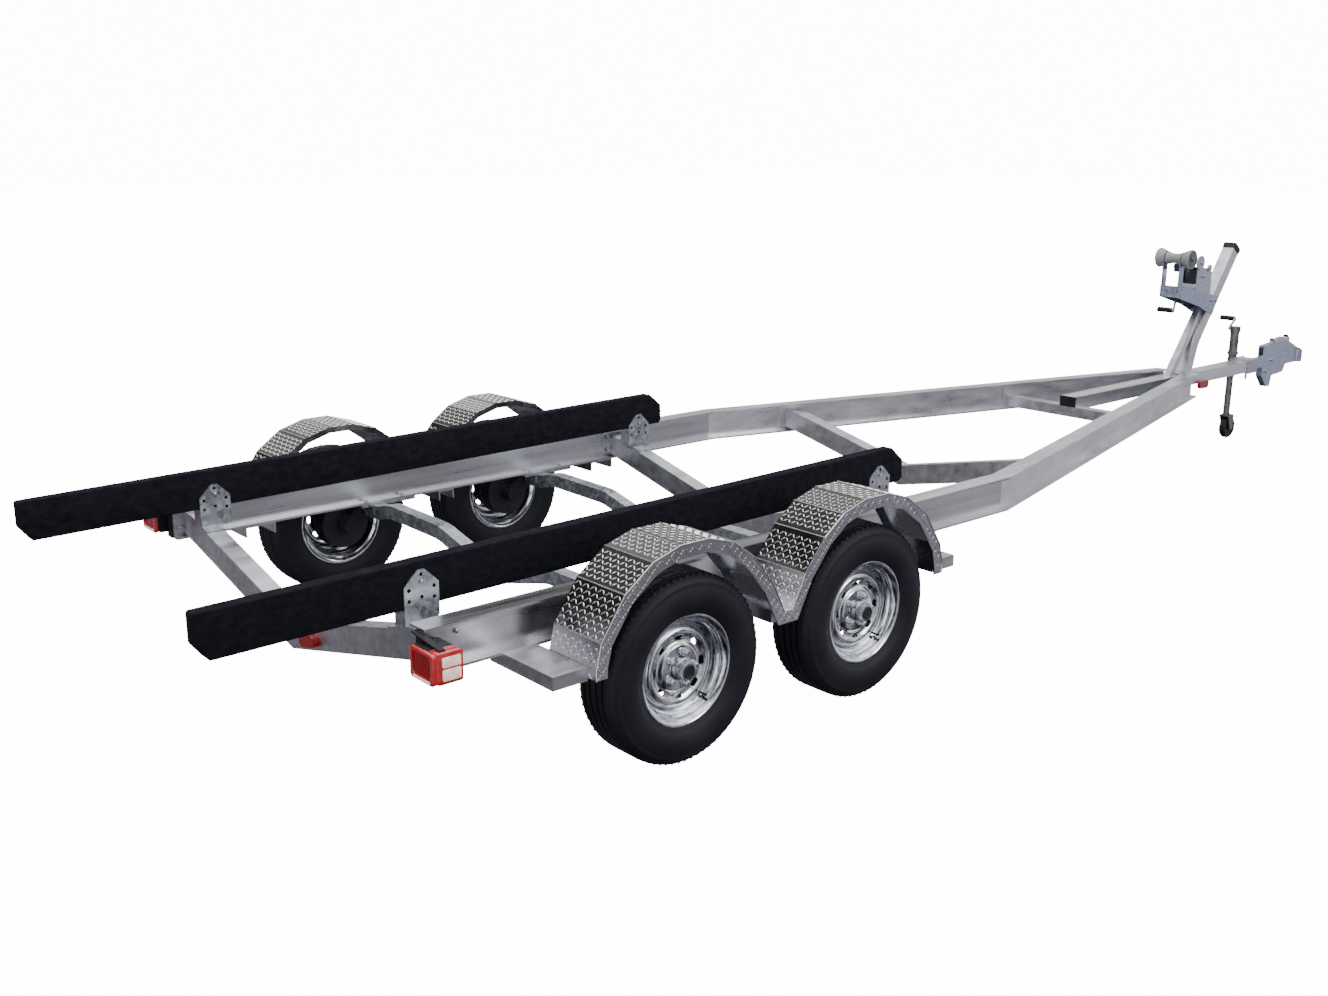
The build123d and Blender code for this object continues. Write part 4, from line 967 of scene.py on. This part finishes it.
def facet_places(normal, corners):
    """Places of the lozenges on one flat face, on a square grid and in alternate directions."""
    pitch, reach = sizes().tread_pitch, sizes().tread_length * LOZENGE_CLEAR
    u = LEFT if abs(normal.y) < 0.1 else Vector((1, 0, 0))
    v = normal.cross(u).normalized()
    flip = 1 if u.cross(v).dot(normal) > 0 else -1
    basis = Matrix((u, v * flip, u.cross(v) * flip)).transposed()
    outline = [(corner.dot(u), corner.dot(v)) for corner in corners]
    spans = [range(math.ceil(min(run) / pitch), math.floor(max(run) / pitch) + 1)
             for run in zip(*outline)]
    places = []
    for i in spans[0]:
        for j in spans[1]:
            a, b = i * pitch, j * pitch
            slant = 1 if (i + j) % 2 else -1
            tips = [(a + k * reach, b + k * slant * reach) for k in (-1, 1)]
            if all(inside(tip, outline) for tip in tips):
                point = u * a + v * b + normal * corners[0].dot(normal)
                turn = basis @ Matrix.Rotation(slant * flip * math.pi / 4, 3, "Z")
                places.append((point, turn.to_quaternion(), 1.0))
    return places


def make_tread_plate():
    """Lozenges over the fenders' arches and skirts, and bright beads on their folds as painted
    highlights of the bends.
    """
    shape = lozenge_shape()
    for side, label in ((1, "left"), (-1, "right")):
        facets, folds = plate_facets("fenders", side)
        highlight_beads = Form()
        for start, end in folds:
            highlight_beads.bar(start, end, FOLD_BEAD, 8)
        highlight_beads.piece("fender_folds_" + label, "tread_lozenge", "chassis", "tread_plate")
        places = [place for facet in facets for place in facet_places(*facet)]
        scattered("tread_lozenges_" + label, shape, places, "tread_lozenge", "chassis",
                  "tread_plate")
    bpy.data.objects.remove(shape)


# ---- Bunks ---------------------------------------------------------------------------------
def make_bunks():
    """Carpeted boards with soft edges."""
    mesh = merged_mesh("bunks")
    data = bpy.data.meshes.new("bunk_carpet")
    mesh.to_mesh(data)
    mesh.free()
    settle("bunk_carpet", data, "carpet", "chassis", "carpet", bevel=sizes().carpet_edge,
           segments=4, sharp=50.0, stands_for=("bunks",))


# ---- Lamps ---------------------------------------------------------------------------------
LENS_THICK = 14 * MM
FRAME_WIDE = 13 * MM
SKIN_THICK = 46 * MM            # how far in the outer side's frame reaches
SHELL_LOW = 4 * MM              # bottom of the shell, from the node's lowest point
BOWL_LOW = 22 * MM
SHELL_ROUND, FRAME_ROUND, BOWL_ROUND = 10 * MM, 12 * MM, 14 * MM
# the pale strip under the bowl is a painted glint, glowing in the pale lens finish
STRIP_LOW, STRIP_HIGH = 7 * MM, 18 * MM         # pale strip under the bowl
STRIP_INSET = 16 * MM
WINDOW_REAR, WINDOW_FRONT = 34 * MM, 9 * MM     # pale lenses of the outer side
WINDOW_EDGE = 15 * MM
WINDOW_GAP = 3 * MM             # half the bar between the two
WINDOW_RISE = 2 * MM            # the bar's height over the middle
WINDOW_PROUD = 2.5 * MM


def rounded(low_corner, high_corner, radius, steps=6):
    """Outline of a rectangle with round corners."""
    (a0, b0), (a1, b1) = low_corner, high_corner
    points = []
    for a, b, start in ((a1 - radius, b1 - radius, 0.0), (a0 + radius, b1 - radius, 0.5),
                        (a0 + radius, b0 + radius, 1.0), (a1 - radius, b0 + radius, 1.5)):
        for i in range(steps + 1):
            turn = math.pi * (start + 0.5 * i / steps)
            points.append((a + radius * math.cos(turn), b + radius * math.sin(turn)))
    return points


def add_ring(form, outer, inner, start, end):
    """A ring between two outlines in Y and Z, from one X to another."""
    count = len(outer)
    points = [(x, y, z) for x in (start, end) for loop in (outer, inner) for y, z in loop]
    near_out, near_in, far_out, far_in = (count * k for k in range(4))
    faces = []
    for i in range(count):
        k = (i + 1) % count
        for a, b in ((near_out, near_in), (far_in, far_out), (far_out, near_out),
                     (near_in, far_in)):
            faces.append((a + i, a + k, b + k, b + i))
    form.add(points, faces)


def make_tail_lamps():
    """Two box lamps: a framed bowl of red behind, and pale lenses on the outer side."""
    (x0, _, z0), (x1, outer, z1) = low("tail_lamps"), high("tail_lamps")
    inner = high("rail_left").y
    front = x0 + LENS_THICK
    bar_z = (z0 + z1) / 2 + WINDOW_RISE
    bowl, ring, pale, shell, skin = (Form() for _ in range(5))
    for side in (1, -1):
        y0, y1 = sorted((inner * side, outer * side))
        seam = (outer - SKIN_THICK) * side
        body = rounded((front, z0 + SHELL_LOW), (x1, z1), SHELL_ROUND)
        shell.prism(body, "y", *sorted((inner * side, seam)))
        skin.prism(body, "y", *sorted((seam, outer * side)))
        whole = rounded((y0, z0 + SHELL_LOW), (y1, z1), FRAME_ROUND)
        hollow = rounded((y0 + FRAME_WIDE, z0 + BOWL_LOW), (y1 - FRAME_WIDE, z1 - FRAME_WIDE),
                         BOWL_ROUND)
        add_ring(ring, whole, hollow, x0, front)
        bowl.prism(hollow, "x", x0 + 5 * MM, front + 1 * MM)
        # painted glint: a pale strip under each bowl
        pale.prism(rounded((y0 + STRIP_INSET, z0 + STRIP_LOW),
                           (y1 - STRIP_INSET, z0 + STRIP_HIGH), 4 * MM),
                   "x", x0 - 1 * MM, front - 2 * MM)
        faces = sorted((side * (outer - 1 * MM), side * (outer + WINDOW_PROUD)))
        for z_low, z_high in ((z0 + WINDOW_EDGE, bar_z - WINDOW_GAP),
                              (bar_z + WINDOW_GAP, z1 - WINDOW_EDGE)):
            pale.prism(rounded((x0 + WINDOW_REAR, z_low), (x1 - WINDOW_FRONT, z_high), 5 * MM),
                       "y", *faces)
    shell.piece("lamp_shells", "black_plastic", "chassis", "black_plastic")
    skin.piece("lamp_side_frames", "lamp_frame", "chassis", "red_lens", bevel=2 * MM)
    bowl.piece("lamp_bowls", "deep_lens", "chassis", "red_lens", stands_for=("tail_lamps",))
    ring.piece("lamp_frames", "lamp_frame", "chassis", "red_lens", bevel=2.5 * MM)
    pale.piece("lamp_pale_lenses", "clear_lens", "chassis", "red_lens", bevel=0.8 * MM)


# ---- Cranks, winch and coupler -------------------------------------------------------------
GRIP_LONG = 104                 # in mm
GRIP_THICK = 16.5
GRIP_RINGS = 4
GRIP_INSET = 14 * MM            # from the crank's box to the grip's middle


def grip_profile():
    """A moulded grip with round ends and soft rings."""
    points = [(2, 0), (GRIP_THICK - 3, 0), (GRIP_THICK, 4)]
    for i in range(GRIP_RINGS):
        at = 18 + 22 * i
        points += [(GRIP_THICK, at), (GRIP_THICK - 1.5, at + 3), (GRIP_THICK, at + 6)]
    return points + [(GRIP_THICK, GRIP_LONG - 2), (GRIP_THICK - 4, GRIP_LONG + 2),
                     (2, GRIP_LONG + 2)]


def make_grips():
    """Black grips over the ends of the two cranks."""
    for label, body, corner, inset in (("winch", "chassis", low, GRIP_INSET),
                                       ("jack", "jack_outer", high, -GRIP_INSET)):
        crank = label + "_crank"
        start = Vector((corner(crank).x + inset, high(crank).y - GRIP_LONG * MM,
                        corner(crank).z + inset))
        grip = Form()
        grip.lathe(grip_profile(), start, 1, 40)
        grip.piece(label + "_grip", "black_plastic", body, "black_plastic")


GEAR_RADIUS = 43 * MM
GEAR_TEETH = 40
GEAR_THICK = (0.5 * MM, 5.5 * MM)       # faces of the teeth, from the frame's right side
TOOTH_RADIUS = 2.6 * MM
PINION_PLACE = (36 * MM, 83 * MM)       # back from the frame's front and down from its top
SHAFT_REACH = (-7 * MM, 8 * MM)
STRAP_HALF, STRAP_THICK = 25 * MM, 3 * MM
STRAP_TOP = 53 * MM             # from the drum's middle to the webbing's top
STRAP_UNDER = 34 * MM           # from the roller's middle down to it
HOOK_DROP = 50 * MM


def make_winch():
    """Gear teeth, shafts, and the webbing that runs from the drum to under the bow roller."""
    drum, roller = middle("winch_drum"), middle("bow_roller")
    frame_low, frame_high = low("winch_frame"), high("winch_frame")
    right = frame_low.y
    gear_x, gear_z = frame_low.x + GEAR_RADIUS, frame_high.z - GEAR_RADIUS
    gear = Form()
    for i in range(GEAR_TEETH):
        turn = 2 * math.pi * i / GEAR_TEETH
        x, z = gear_x + GEAR_RADIUS * math.cos(turn), gear_z + GEAR_RADIUS * math.sin(turn)
        gear.bar(*((x, right + reach, z) for reach in GEAR_THICK), TOOTH_RADIUS, 6)
    gear.piece("winch_gear_teeth", "zinc", "chassis", "zinc")
    shafts = Form()
    for x, z, size in ((gear_x, gear_z, 9 * MM), (drum.x, drum.z, 10 * MM),
                       (frame_high.x - PINION_PLACE[0], frame_high.z - PINION_PLACE[1], 7 * MM)):
        shafts.bar(*((x, right + reach, z) for reach in SHAFT_REACH), size, 6)
    shafts.piece("winch_shaft_nuts", "zinc", "chassis", "zinc", bevel=0.8 * MM)
    strap = Form()
    under = roller.z - STRAP_UNDER
    near = (roller.x + 30 * MM, under)
    far = (drum.x - 8 * MM, drum.z + STRAP_TOP)
    strap.prism([far, near, (near[0], near[1] - STRAP_THICK), (far[0], far[1] - STRAP_THICK)],
                "y", -STRAP_HALF, STRAP_HALF)
    strap.prism([near, (near[0] + 8 * MM, near[1] - 2 * MM),
                 (roller.x + 44 * MM, under - HOOK_DROP), (roller.x + 26 * MM, under - HOOK_DROP),
                 (roller.x + 16 * MM, under - 12 * MM)],
                "y", -STRAP_HALF * 0.8, STRAP_HALF * 0.8)
    strap.piece("winch_strap", "strap", "chassis", "strap")


MAST_TOP, MAST_KNEE = (5850, 0, 1335), (5446, 0, 770)
SKIRT_HALF = 41                 # half the mast's width and the skirt's own wall
SKIRT_REACH = (-14, 1)          # along the mast, from its top
POST_X = 5122                   # rear edge of the posts that hold the bow roller
POST_IN = 54                    # from the middle to a post's inner face
FLANGE_WIDE, FLANGE_THICK = 26, 5
FLANGE_LOW, FLANGE_TOP = 1146, 1244
ROLLER_END = 111
ROLLER_DISC = [                 # radius, and distance past the roller's end
    (1, -1), (50, -1), (50, 1.5), (14, 2), (13, 7), (1, 8),
]
LATCH_KNOB, LATCH_PIN = (6562, 676), (6770, 689)        # X and Z


def make_post_details():
    """Skirt of the mast's cap, flange of a roller post, discs on the roller's ends, knobs."""
    along = (spot(*MAST_TOP) - spot(*MAST_KNEE)).normalized()
    normal = along.cross(LEFT)
    skirt = Form()
    points = [spot(*MAST_TOP) + (along * reach + (LEFT * a + normal * b) * SKIRT_HALF) * MM
              for reach in SKIRT_REACH for a, b in ((1, 1), (-1, 1), (-1, -1), (1, -1))]
    skirt.add(points, tube_faces(4))
    skirt.piece("mast_cap_skirt", "black_plastic", "chassis", "black_plastic", bevel=2 * MM)
    flange = Form()
    flange.block(spot(POST_X, POST_IN - FLANGE_WIDE, FLANGE_LOW),
                 spot(POST_X + FLANGE_THICK, POST_IN, FLANGE_TOP))
    flange.piece("roller_post_flange", "galvanised", "chassis", "galvanised", bevel=1.5 * MM)
    discs = Form()
    for side in (1, -1):
        discs.lathe([(radius, ROLLER_END + away) for radius, away in ROLLER_DISC],
                    middle("bow_roller"), side, 48)
    discs.piece("roller_end_discs", "worn_zinc", "bow_roller", "zinc")
    knobs = Form()
    (knob_x, knob_z), (pin_x, pin_z) = LATCH_KNOB, LATCH_PIN
    knobs.bar(spot(knob_x, 0, knob_z), spot(knob_x, 0, knob_z + 12), 14 * MM, 24, 12 * MM)
    knobs.bar(spot(pin_x, -15, pin_z), spot(pin_x, 15, pin_z), 8 * MM, 16)
    knobs.piece("coupler_knobs", "black_plastic", "chassis", "black_plastic", bevel=1 * MM)


# ---- Bolts ---------------------------------------------------------------------------------
FLANGE_HALF = 43 * MM           # from a rail's edge to its web's middle
WEB_HALF = 3.5 * MM
END_PLATE = 8 * MM              # plate between a crossmember and the web
MEMBER_BOLTS = (58 * MM, 32 * MM)       # along and up, from the crossmember's middle
SEAT_BOLTS = (-62 * MM, 120 * MM)       # along, from the axle's tube
SEAT_SPREAD = 28 * MM
AXLE_LEAD = 98 * MM             # from a wheel's middle to its axle's tube
BRACKET_MIDDLE = 63.5 * MM      # from the brackets' end to a plate's middle
BRACKET_STEP = 6 * MM           # the front brackets are this much lower
BRACKET_OUT, BRACKET_DEEP = 48 * MM, 64 * MM
COUPLER_SIDE = 21 * MM
COUPLER_BOLTS = ((190 * MM, 470 * MM), (262 * MM, 542 * MM))    # from its rear, and up
CARRIAGE_BOLTS = (-70 * MM, -20 * MM)   # from its front
CARRIAGE_HEIGHT = 1030 * MM


def bolt_shape():
    """A hex head on a washer, standing on z = 0, one unit across the flats."""
    form = Form()
    form.bar((0, 0, -0.02), (0, 0, 0.10), 0.78, 20)
    form.bar((0, 0, 0.08), (0, 0, 0.56), 1 / math.sqrt(3), 6)
    form.bar((0, 0, 0.56), (0, 0, 0.62), 0.50, 20, 0.42)
    return form.pattern("bolt")


def bolt_places():
    """Point, direction and share of the full size of each frame bolt, on both sides."""
    places = []

    def both(x, y, z, direction, share):
        for side in (1, -1):
            way = Vector((direction[0], direction[1] * side, direction[2]))
            places.append((Vector((x, y * side, z)), way.to_track_quat("Z", "X"), share))

    edge = high("rail_left").y
    mid_z = (RAIL_TOP + RAIL_LOW) / 2
    for node in ("crossmember_rear", "crossmember_middle"):
        for along in (-MEMBER_BOLTS[0], MEMBER_BOLTS[0]):
            for up in (-MEMBER_BOLTS[1], MEMBER_BOLTS[1]):
                x, z = middle(node).x + along, mid_z + up
                both(x, edge - FLANGE_HALF - WEB_HALF - END_PLATE, z, (0, -1, 0), 0.8)
                both(x, edge - FLANGE_HALF + WEB_HALF, z, (0, 1, 0), 0.8)
    for wheel in ("rear_left", "front_left"):
        for along in SEAT_BOLTS:
            for across in (-SEAT_SPREAD, SEAT_SPREAD):
                both(wheel_centre(wheel)[0].x + AXLE_LEAD + along,
                     edge - FLANGE_HALF + across, RAIL_LOW + 9 * MM, (0, 0, 1), 0.75)
    outer_y = high("bunk_brackets").y - BRACKET_OUT
    for x, top in (
            (low("bunk_brackets").x + BRACKET_MIDDLE, high("bunk_brackets").z),
            (high("bunk_brackets").x - BRACKET_MIDDLE, high("bunk_brackets").z - BRACKET_STEP)):
        both(x, outer_y, top - 40 * MM, (0, 1, 0), 0.7)
        both(x, outer_y - BRACKET_DEEP, top - 70 * MM, (0, -1, 0), 0.7)
    for along, z in COUPLER_BOLTS:
        both(low("coupler_body").x + along, COUPLER_SIDE, z, (0, 1, 0), 0.9)
    for along in CARRIAGE_BOLTS:
        both(high("winch_carriage").x + along, high("winch_carriage").y, CARRIAGE_HEIGHT,
             (0, 1, 0), 0.75)
    return places


def make_bolts():
    shape = bolt_shape()
    scattered("frame_bolts", shape, bolt_places(), "zinc", "chassis", "zinc",
              sizes().bolt_size)
    bpy.data.objects.remove(shape)


# ---- CAD nodes that keep their own shape ---------------------------------------------------
CAD_FINISHES = {
    "frame_aluminium": (
        "rail_left", "rail_right", "crossmember_rear", "crossmember_middle",
        "crossmember_drop", "crossmembers_front", "tongue_tube", "fender_outriggers", "mast",
        "mast_brace"),
    "tread_plate": ("fenders",),
    "galvanised": ("axles", "bunk_brackets", "jack_clamp", "coupler_sleeve"),
    "blue_zinc": ("coupler_body", "winch_carriage"),
    "worn_zinc": ("jack_tube", "jack_leg", "jack_fork"),
    "zinc": ("winch_frame", "winch_crank", "jack_crank", "coupler_latch"),
    "drum_iron": ("torsion_arms",),
    "strap": ("winch_drum",),
    "grey_rubber": ("bow_roller",),
    # the lamp brackets are black as painted shade: they stand for the dark gap between each rail's
    # end and its lamp
    "black_plastic": ("end_caps", "jack_wheel", "lamp_brackets"),
    "deep_lens": ("marker_lamps",),
}


def paint_nodes():
    for finish_name, nodes in CAD_FINISHES.items():
        for node in nodes:
            data = NODES[node].data
            data.materials.clear()
            data.materials.append(finish(finish_name))


# ---- Stage ---------------------------------------------------------------------------------
CAMERA_PLACE = (-5.6344, -4.4425, 2.0627)
CAMERA_YAW, CAMERA_PITCH, CAMERA_ROLL = 49.0014, -14.9022, 0.2644      # degrees
FRAME_WIDTH = 1328.0            # pixels
FOCAL_PIXELS = 1382.69
SENSOR = 36.0                   # mm


def make_camera():
    yaw, pitch = math.radians(CAMERA_YAW), math.radians(CAMERA_PITCH)
    roll = math.radians(CAMERA_ROLL)
    forward = Vector((math.cos(pitch) * math.cos(yaw), math.cos(pitch) * math.sin(yaw),
                      math.sin(pitch)))
    level = Vector((math.sin(yaw), -math.cos(yaw), 0.0))
    upright = level.cross(forward)
    right = level * math.cos(roll) + upright * math.sin(roll)
    up = upright * math.cos(roll) - level * math.sin(roll)
    data = bpy.data.cameras.new("camera")
    data.sensor_width = SENSOR
    data.lens = FOCAL_PIXELS / FRAME_WIDTH * SENSOR
    data.clip_end = 200.0
    camera = bpy.data.objects.new("camera", data)
    basis = Matrix((right, up, -forward)).transposed().to_4x4()
    camera.matrix_world = Matrix.Translation(CAMERA_PLACE) @ basis
    bpy.context.scene.collection.objects.link(camera)
    bpy.context.scene.camera = camera


LAMPS = [                       # name, place, aimed at, width, height, power in watts
    ("overhead", (0.0, 0.0, 7.0), (0.0, 0.0, 0.0), 12.0, 6.0, 620.0),
    ("rear", (-9.0, -3.0, 4.0), (0.0, 0.0, 0.5), 2.0, 3.0, 12.0),
    ("near_side", (1.0, -8.5, 3.2), (0.0, 0.0, 0.5), 3.0, 2.5, 150.0),
]


def make_lights():
    for name, place, target, width, height, power in LAMPS:
        data = bpy.data.lights.new(name, "AREA")
        data.shape = "RECTANGLE"
        data.size, data.size_y = width, height
        data.energy = power
        light = bpy.data.objects.new(name, data)
        light.location = place
        aim = Vector(target) - Vector(place)
        light.rotation_euler = aim.to_track_quat("-Z", "Y").to_euler()
        bpy.context.scene.collection.objects.link(light)


ROOM_TONES = [                  # height from -0.5 to 0.5 as 0 to 1, and the tone there
    (0.0, (0.10, 0.10, 0.11)), (0.20, (0.36, 0.35, 0.40)), (0.45, (0.46, 0.46, 0.52)),
    (0.52, (0.44, 0.45, 0.42)), (0.60, (0.78, 0.80, 0.75)), (1.0, (1.15, 1.18, 1.20)),
]
PANEL_TONES = [                 # place in the noise, and how much light a panel throws there
    (0.40, 0.10), (0.49, 0.55), (0.54, 1.0), (0.62, 3.4),
]
WALL_TONES = [                  # from the rear wall as 0 to the front wall as 1, and its light
    (0.06, 1.7), (0.13, 1.5), (0.26, 0.17), (0.36, 0.20), (0.45, 1.0),
]
PANEL_STRETCH = (1.0, 1.0, 0.12)        # makes the panels tall
ROOM_SEEN = 14.0                # brightness of the white behind the trailer


def grey(steps):
    """Stops of a ramp from places and levels."""
    return [(place, (level,) * 3) for place, level in steps]


def make_room():
    """The room round the stage: white to look at, and in tones for the metal to reflect."""
    world = bpy.data.worlds.new("studio")
    world.use_nodes = True
    world.node_tree.nodes.clear()
    room = Nodes(world.node_tree)
    way = room.node("ShaderNodeTexCoord").outputs["Generated"]
    parts = room.node("ShaderNodeSeparateXYZ", {"Vector": way}).outputs
    tall = room.node("ShaderNodeMapping", {"Vector": way, "Scale": PANEL_STRETCH})
    panels = room.node("ShaderNodeTexNoise", {
        "Vector": tall.outputs[0], "Scale": 4.2, "Detail": 2.0, "Roughness": 0.55})
    level = room.node("ShaderNodeMapRange", {
        "Value": parts["Z"], "From Min": -0.5, "From Max": 0.5})
    along = room.node("ShaderNodeMapRange", {"Value": parts["X"], "From Min": -1.0})
    tones = room.node("ShaderNodeValToRGB", {"Fac": level.outputs[0]}, ROOM_TONES)
    stripes = room.node("ShaderNodeValToRGB", {"Fac": panels.outputs["Fac"]}, grey(PANEL_TONES))
    walls = room.node("ShaderNodeValToRGB", {"Fac": along.outputs[0]}, grey(WALL_TONES))
    calm = room.node("ShaderNodeMapRange", {
        "Value": parts["Z"], "From Min": 0.0, "From Max": 0.1, "To Min": 1.0, "To Max": 0.35})
    mixed = room.node("ShaderNodeMix", {
        0: calm.outputs[0], 6: tones.outputs[0], 7: stripes.outputs[0]},
        data_type="RGBA", blend_type="MULTIPLY")
    inner = room.node("ShaderNodeBackground", {
        "Color": mixed.outputs[2], "Strength": walls.outputs[0]})
    outer = room.node("ShaderNodeBackground", {
        "Color": (1.0, 1.0, 1.0, 1.0), "Strength": ROOM_SEEN})
    seen = room.node("ShaderNodeLightPath").outputs["Is Camera Ray"]
    both = room.node("ShaderNodeMixShader", {0: seen, 1: inner.outputs[0], 2: outer.outputs[0]})
    room.node("ShaderNodeOutputWorld", {"Surface": both.outputs[0]})
    bpy.context.scene.world = world


FLOOR_REACH = 45.0
FLOOR_THICK = 20 * MM
FLOOR_GAP = 0.2 * MM            # so that the floor's top and a tyre's foot don't meet


def make_floor():
    form = Form()
    form.block((-FLOOR_REACH, -FLOOR_REACH, -FLOOR_THICK), (FLOOR_REACH, FLOOR_REACH, -FLOOR_GAP))
    data = form.mesh_data("studio_floor")
    data.materials.append(finish("studio_floor"))
    floor = bpy.data.objects.new("studio_floor", data)
    bpy.context.scene.collection.objects.link(floor)
    floor.visible_glossy = False
    floor.visible_diffuse = False


# ---- Operators and panel -------------------------------------------------------------------
class TRAILER_OT_tyres(bpy.types.Operator):
    """Replace the plain tyres with grooved ones"""

    bl_idname = "trailer.tyres"
    bl_label = "Tyres"

    def execute(self, context):
        make_tyres()
        return {"FINISHED"}


class TRAILER_OT_rims(bpy.types.Operator):
    """Replace the plain rims with stepped, vented ones and add nuts, drums and valves"""

    bl_idname = "trailer.rims"
    bl_label = "Rims and hubs"

    def execute(self, context):
        make_rims()
        make_wheel_hardware()
        return {"FINISHED"}


class TRAILER_OT_tread_plate(bpy.types.Operator):
    """Cover the fenders with raised lozenges"""

    bl_idname = "trailer.tread_plate"
    bl_label = "Tread plate"

    def execute(self, context):
        make_tread_plate()
        return {"FINISHED"}


class TRAILER_OT_bunks(bpy.types.Operator):
    """Wrap the bunks in carpet"""

    bl_idname = "trailer.bunks"
    bl_label = "Bunk carpet"

    def execute(self, context):
        make_bunks()
        return {"FINISHED"}


class TRAILER_OT_lamps(bpy.types.Operator):
    """Replace the plain tail lamps with lenses, frames and shells"""

    bl_idname = "trailer.lamps"
    bl_label = "Tail lamps"

    def execute(self, context):
        make_tail_lamps()
        return {"FINISHED"}


class TRAILER_OT_winch(bpy.types.Operator):
    """Add the cranks' grips, the winch's teeth, nuts and webbing, caps and knobs"""

    bl_idname = "trailer.winch"
    bl_label = "Winch and cranks"

    def execute(self, context):
        make_grips()
        make_winch()
        make_post_details()
        return {"FINISHED"}


class TRAILER_OT_bolts(bpy.types.Operator):
    """Add the frame's bolts"""

    bl_idname = "trailer.bolts"
    bl_label = "Frame bolts"

    def execute(self, context):
        make_bolts()
        return {"FINISHED"}


class TRAILER_OT_paint(bpy.types.Operator):
    """Give each remaining CAD piece its finish"""

    bl_idname = "trailer.paint"
    bl_label = "Finishes"

    def execute(self, context):
        paint_nodes()
        return {"FINISHED"}


class TRAILER_OT_stage(bpy.types.Operator):
    """Set up the floor, the lights and the camera"""

    bl_idname = "trailer.stage"
    bl_label = "Stage"

    def execute(self, context):
        make_floor()
        make_lights()
        make_room()
        make_camera()
        return {"FINISHED"}


STEPS = (TRAILER_OT_paint, TRAILER_OT_tyres, TRAILER_OT_rims, TRAILER_OT_tread_plate,
         TRAILER_OT_bunks, TRAILER_OT_lamps, TRAILER_OT_winch, TRAILER_OT_bolts,
         TRAILER_OT_stage)


class TRAILER_PT_panel(bpy.types.Panel):
    """Sizes, colours and steps of the trailer"""

    bl_idname = "TRAILER_PT_panel"
    bl_label = "Boat trailer"
    bl_space_type = "VIEW_3D"
    bl_region_type = "UI"
    bl_category = "Trailer"

    def draw(self, context):
        for group in (context.scene.trailer_sizes, context.scene.trailer_colours):
            box = self.layout.box()
            for name in group.__annotations__:
                box.prop(group, name)
        for step in STEPS:
            self.layout.operator(step.bl_idname)


CLASSES = (TrailerSizes, TrailerColours, *STEPS, TRAILER_PT_panel)


def register():
    for kind in CLASSES:
        bpy.utils.register_class(kind)
    bpy.types.Scene.trailer_sizes = bpy.props.PointerProperty(type=TrailerSizes)
    bpy.types.Scene.trailer_colours = bpy.props.PointerProperty(type=TrailerColours)


def unregister():
    del bpy.types.Scene.trailer_colours
    del bpy.types.Scene.trailer_sizes
    for kind in reversed(CLASSES):
        bpy.utils.unregister_class(kind)


def main():
    register()
    for step in STEPS:
        category, name = step.bl_idname.split(".")
        getattr(getattr(bpy.ops, category), name)()


if __name__ == "__main__":
    main()
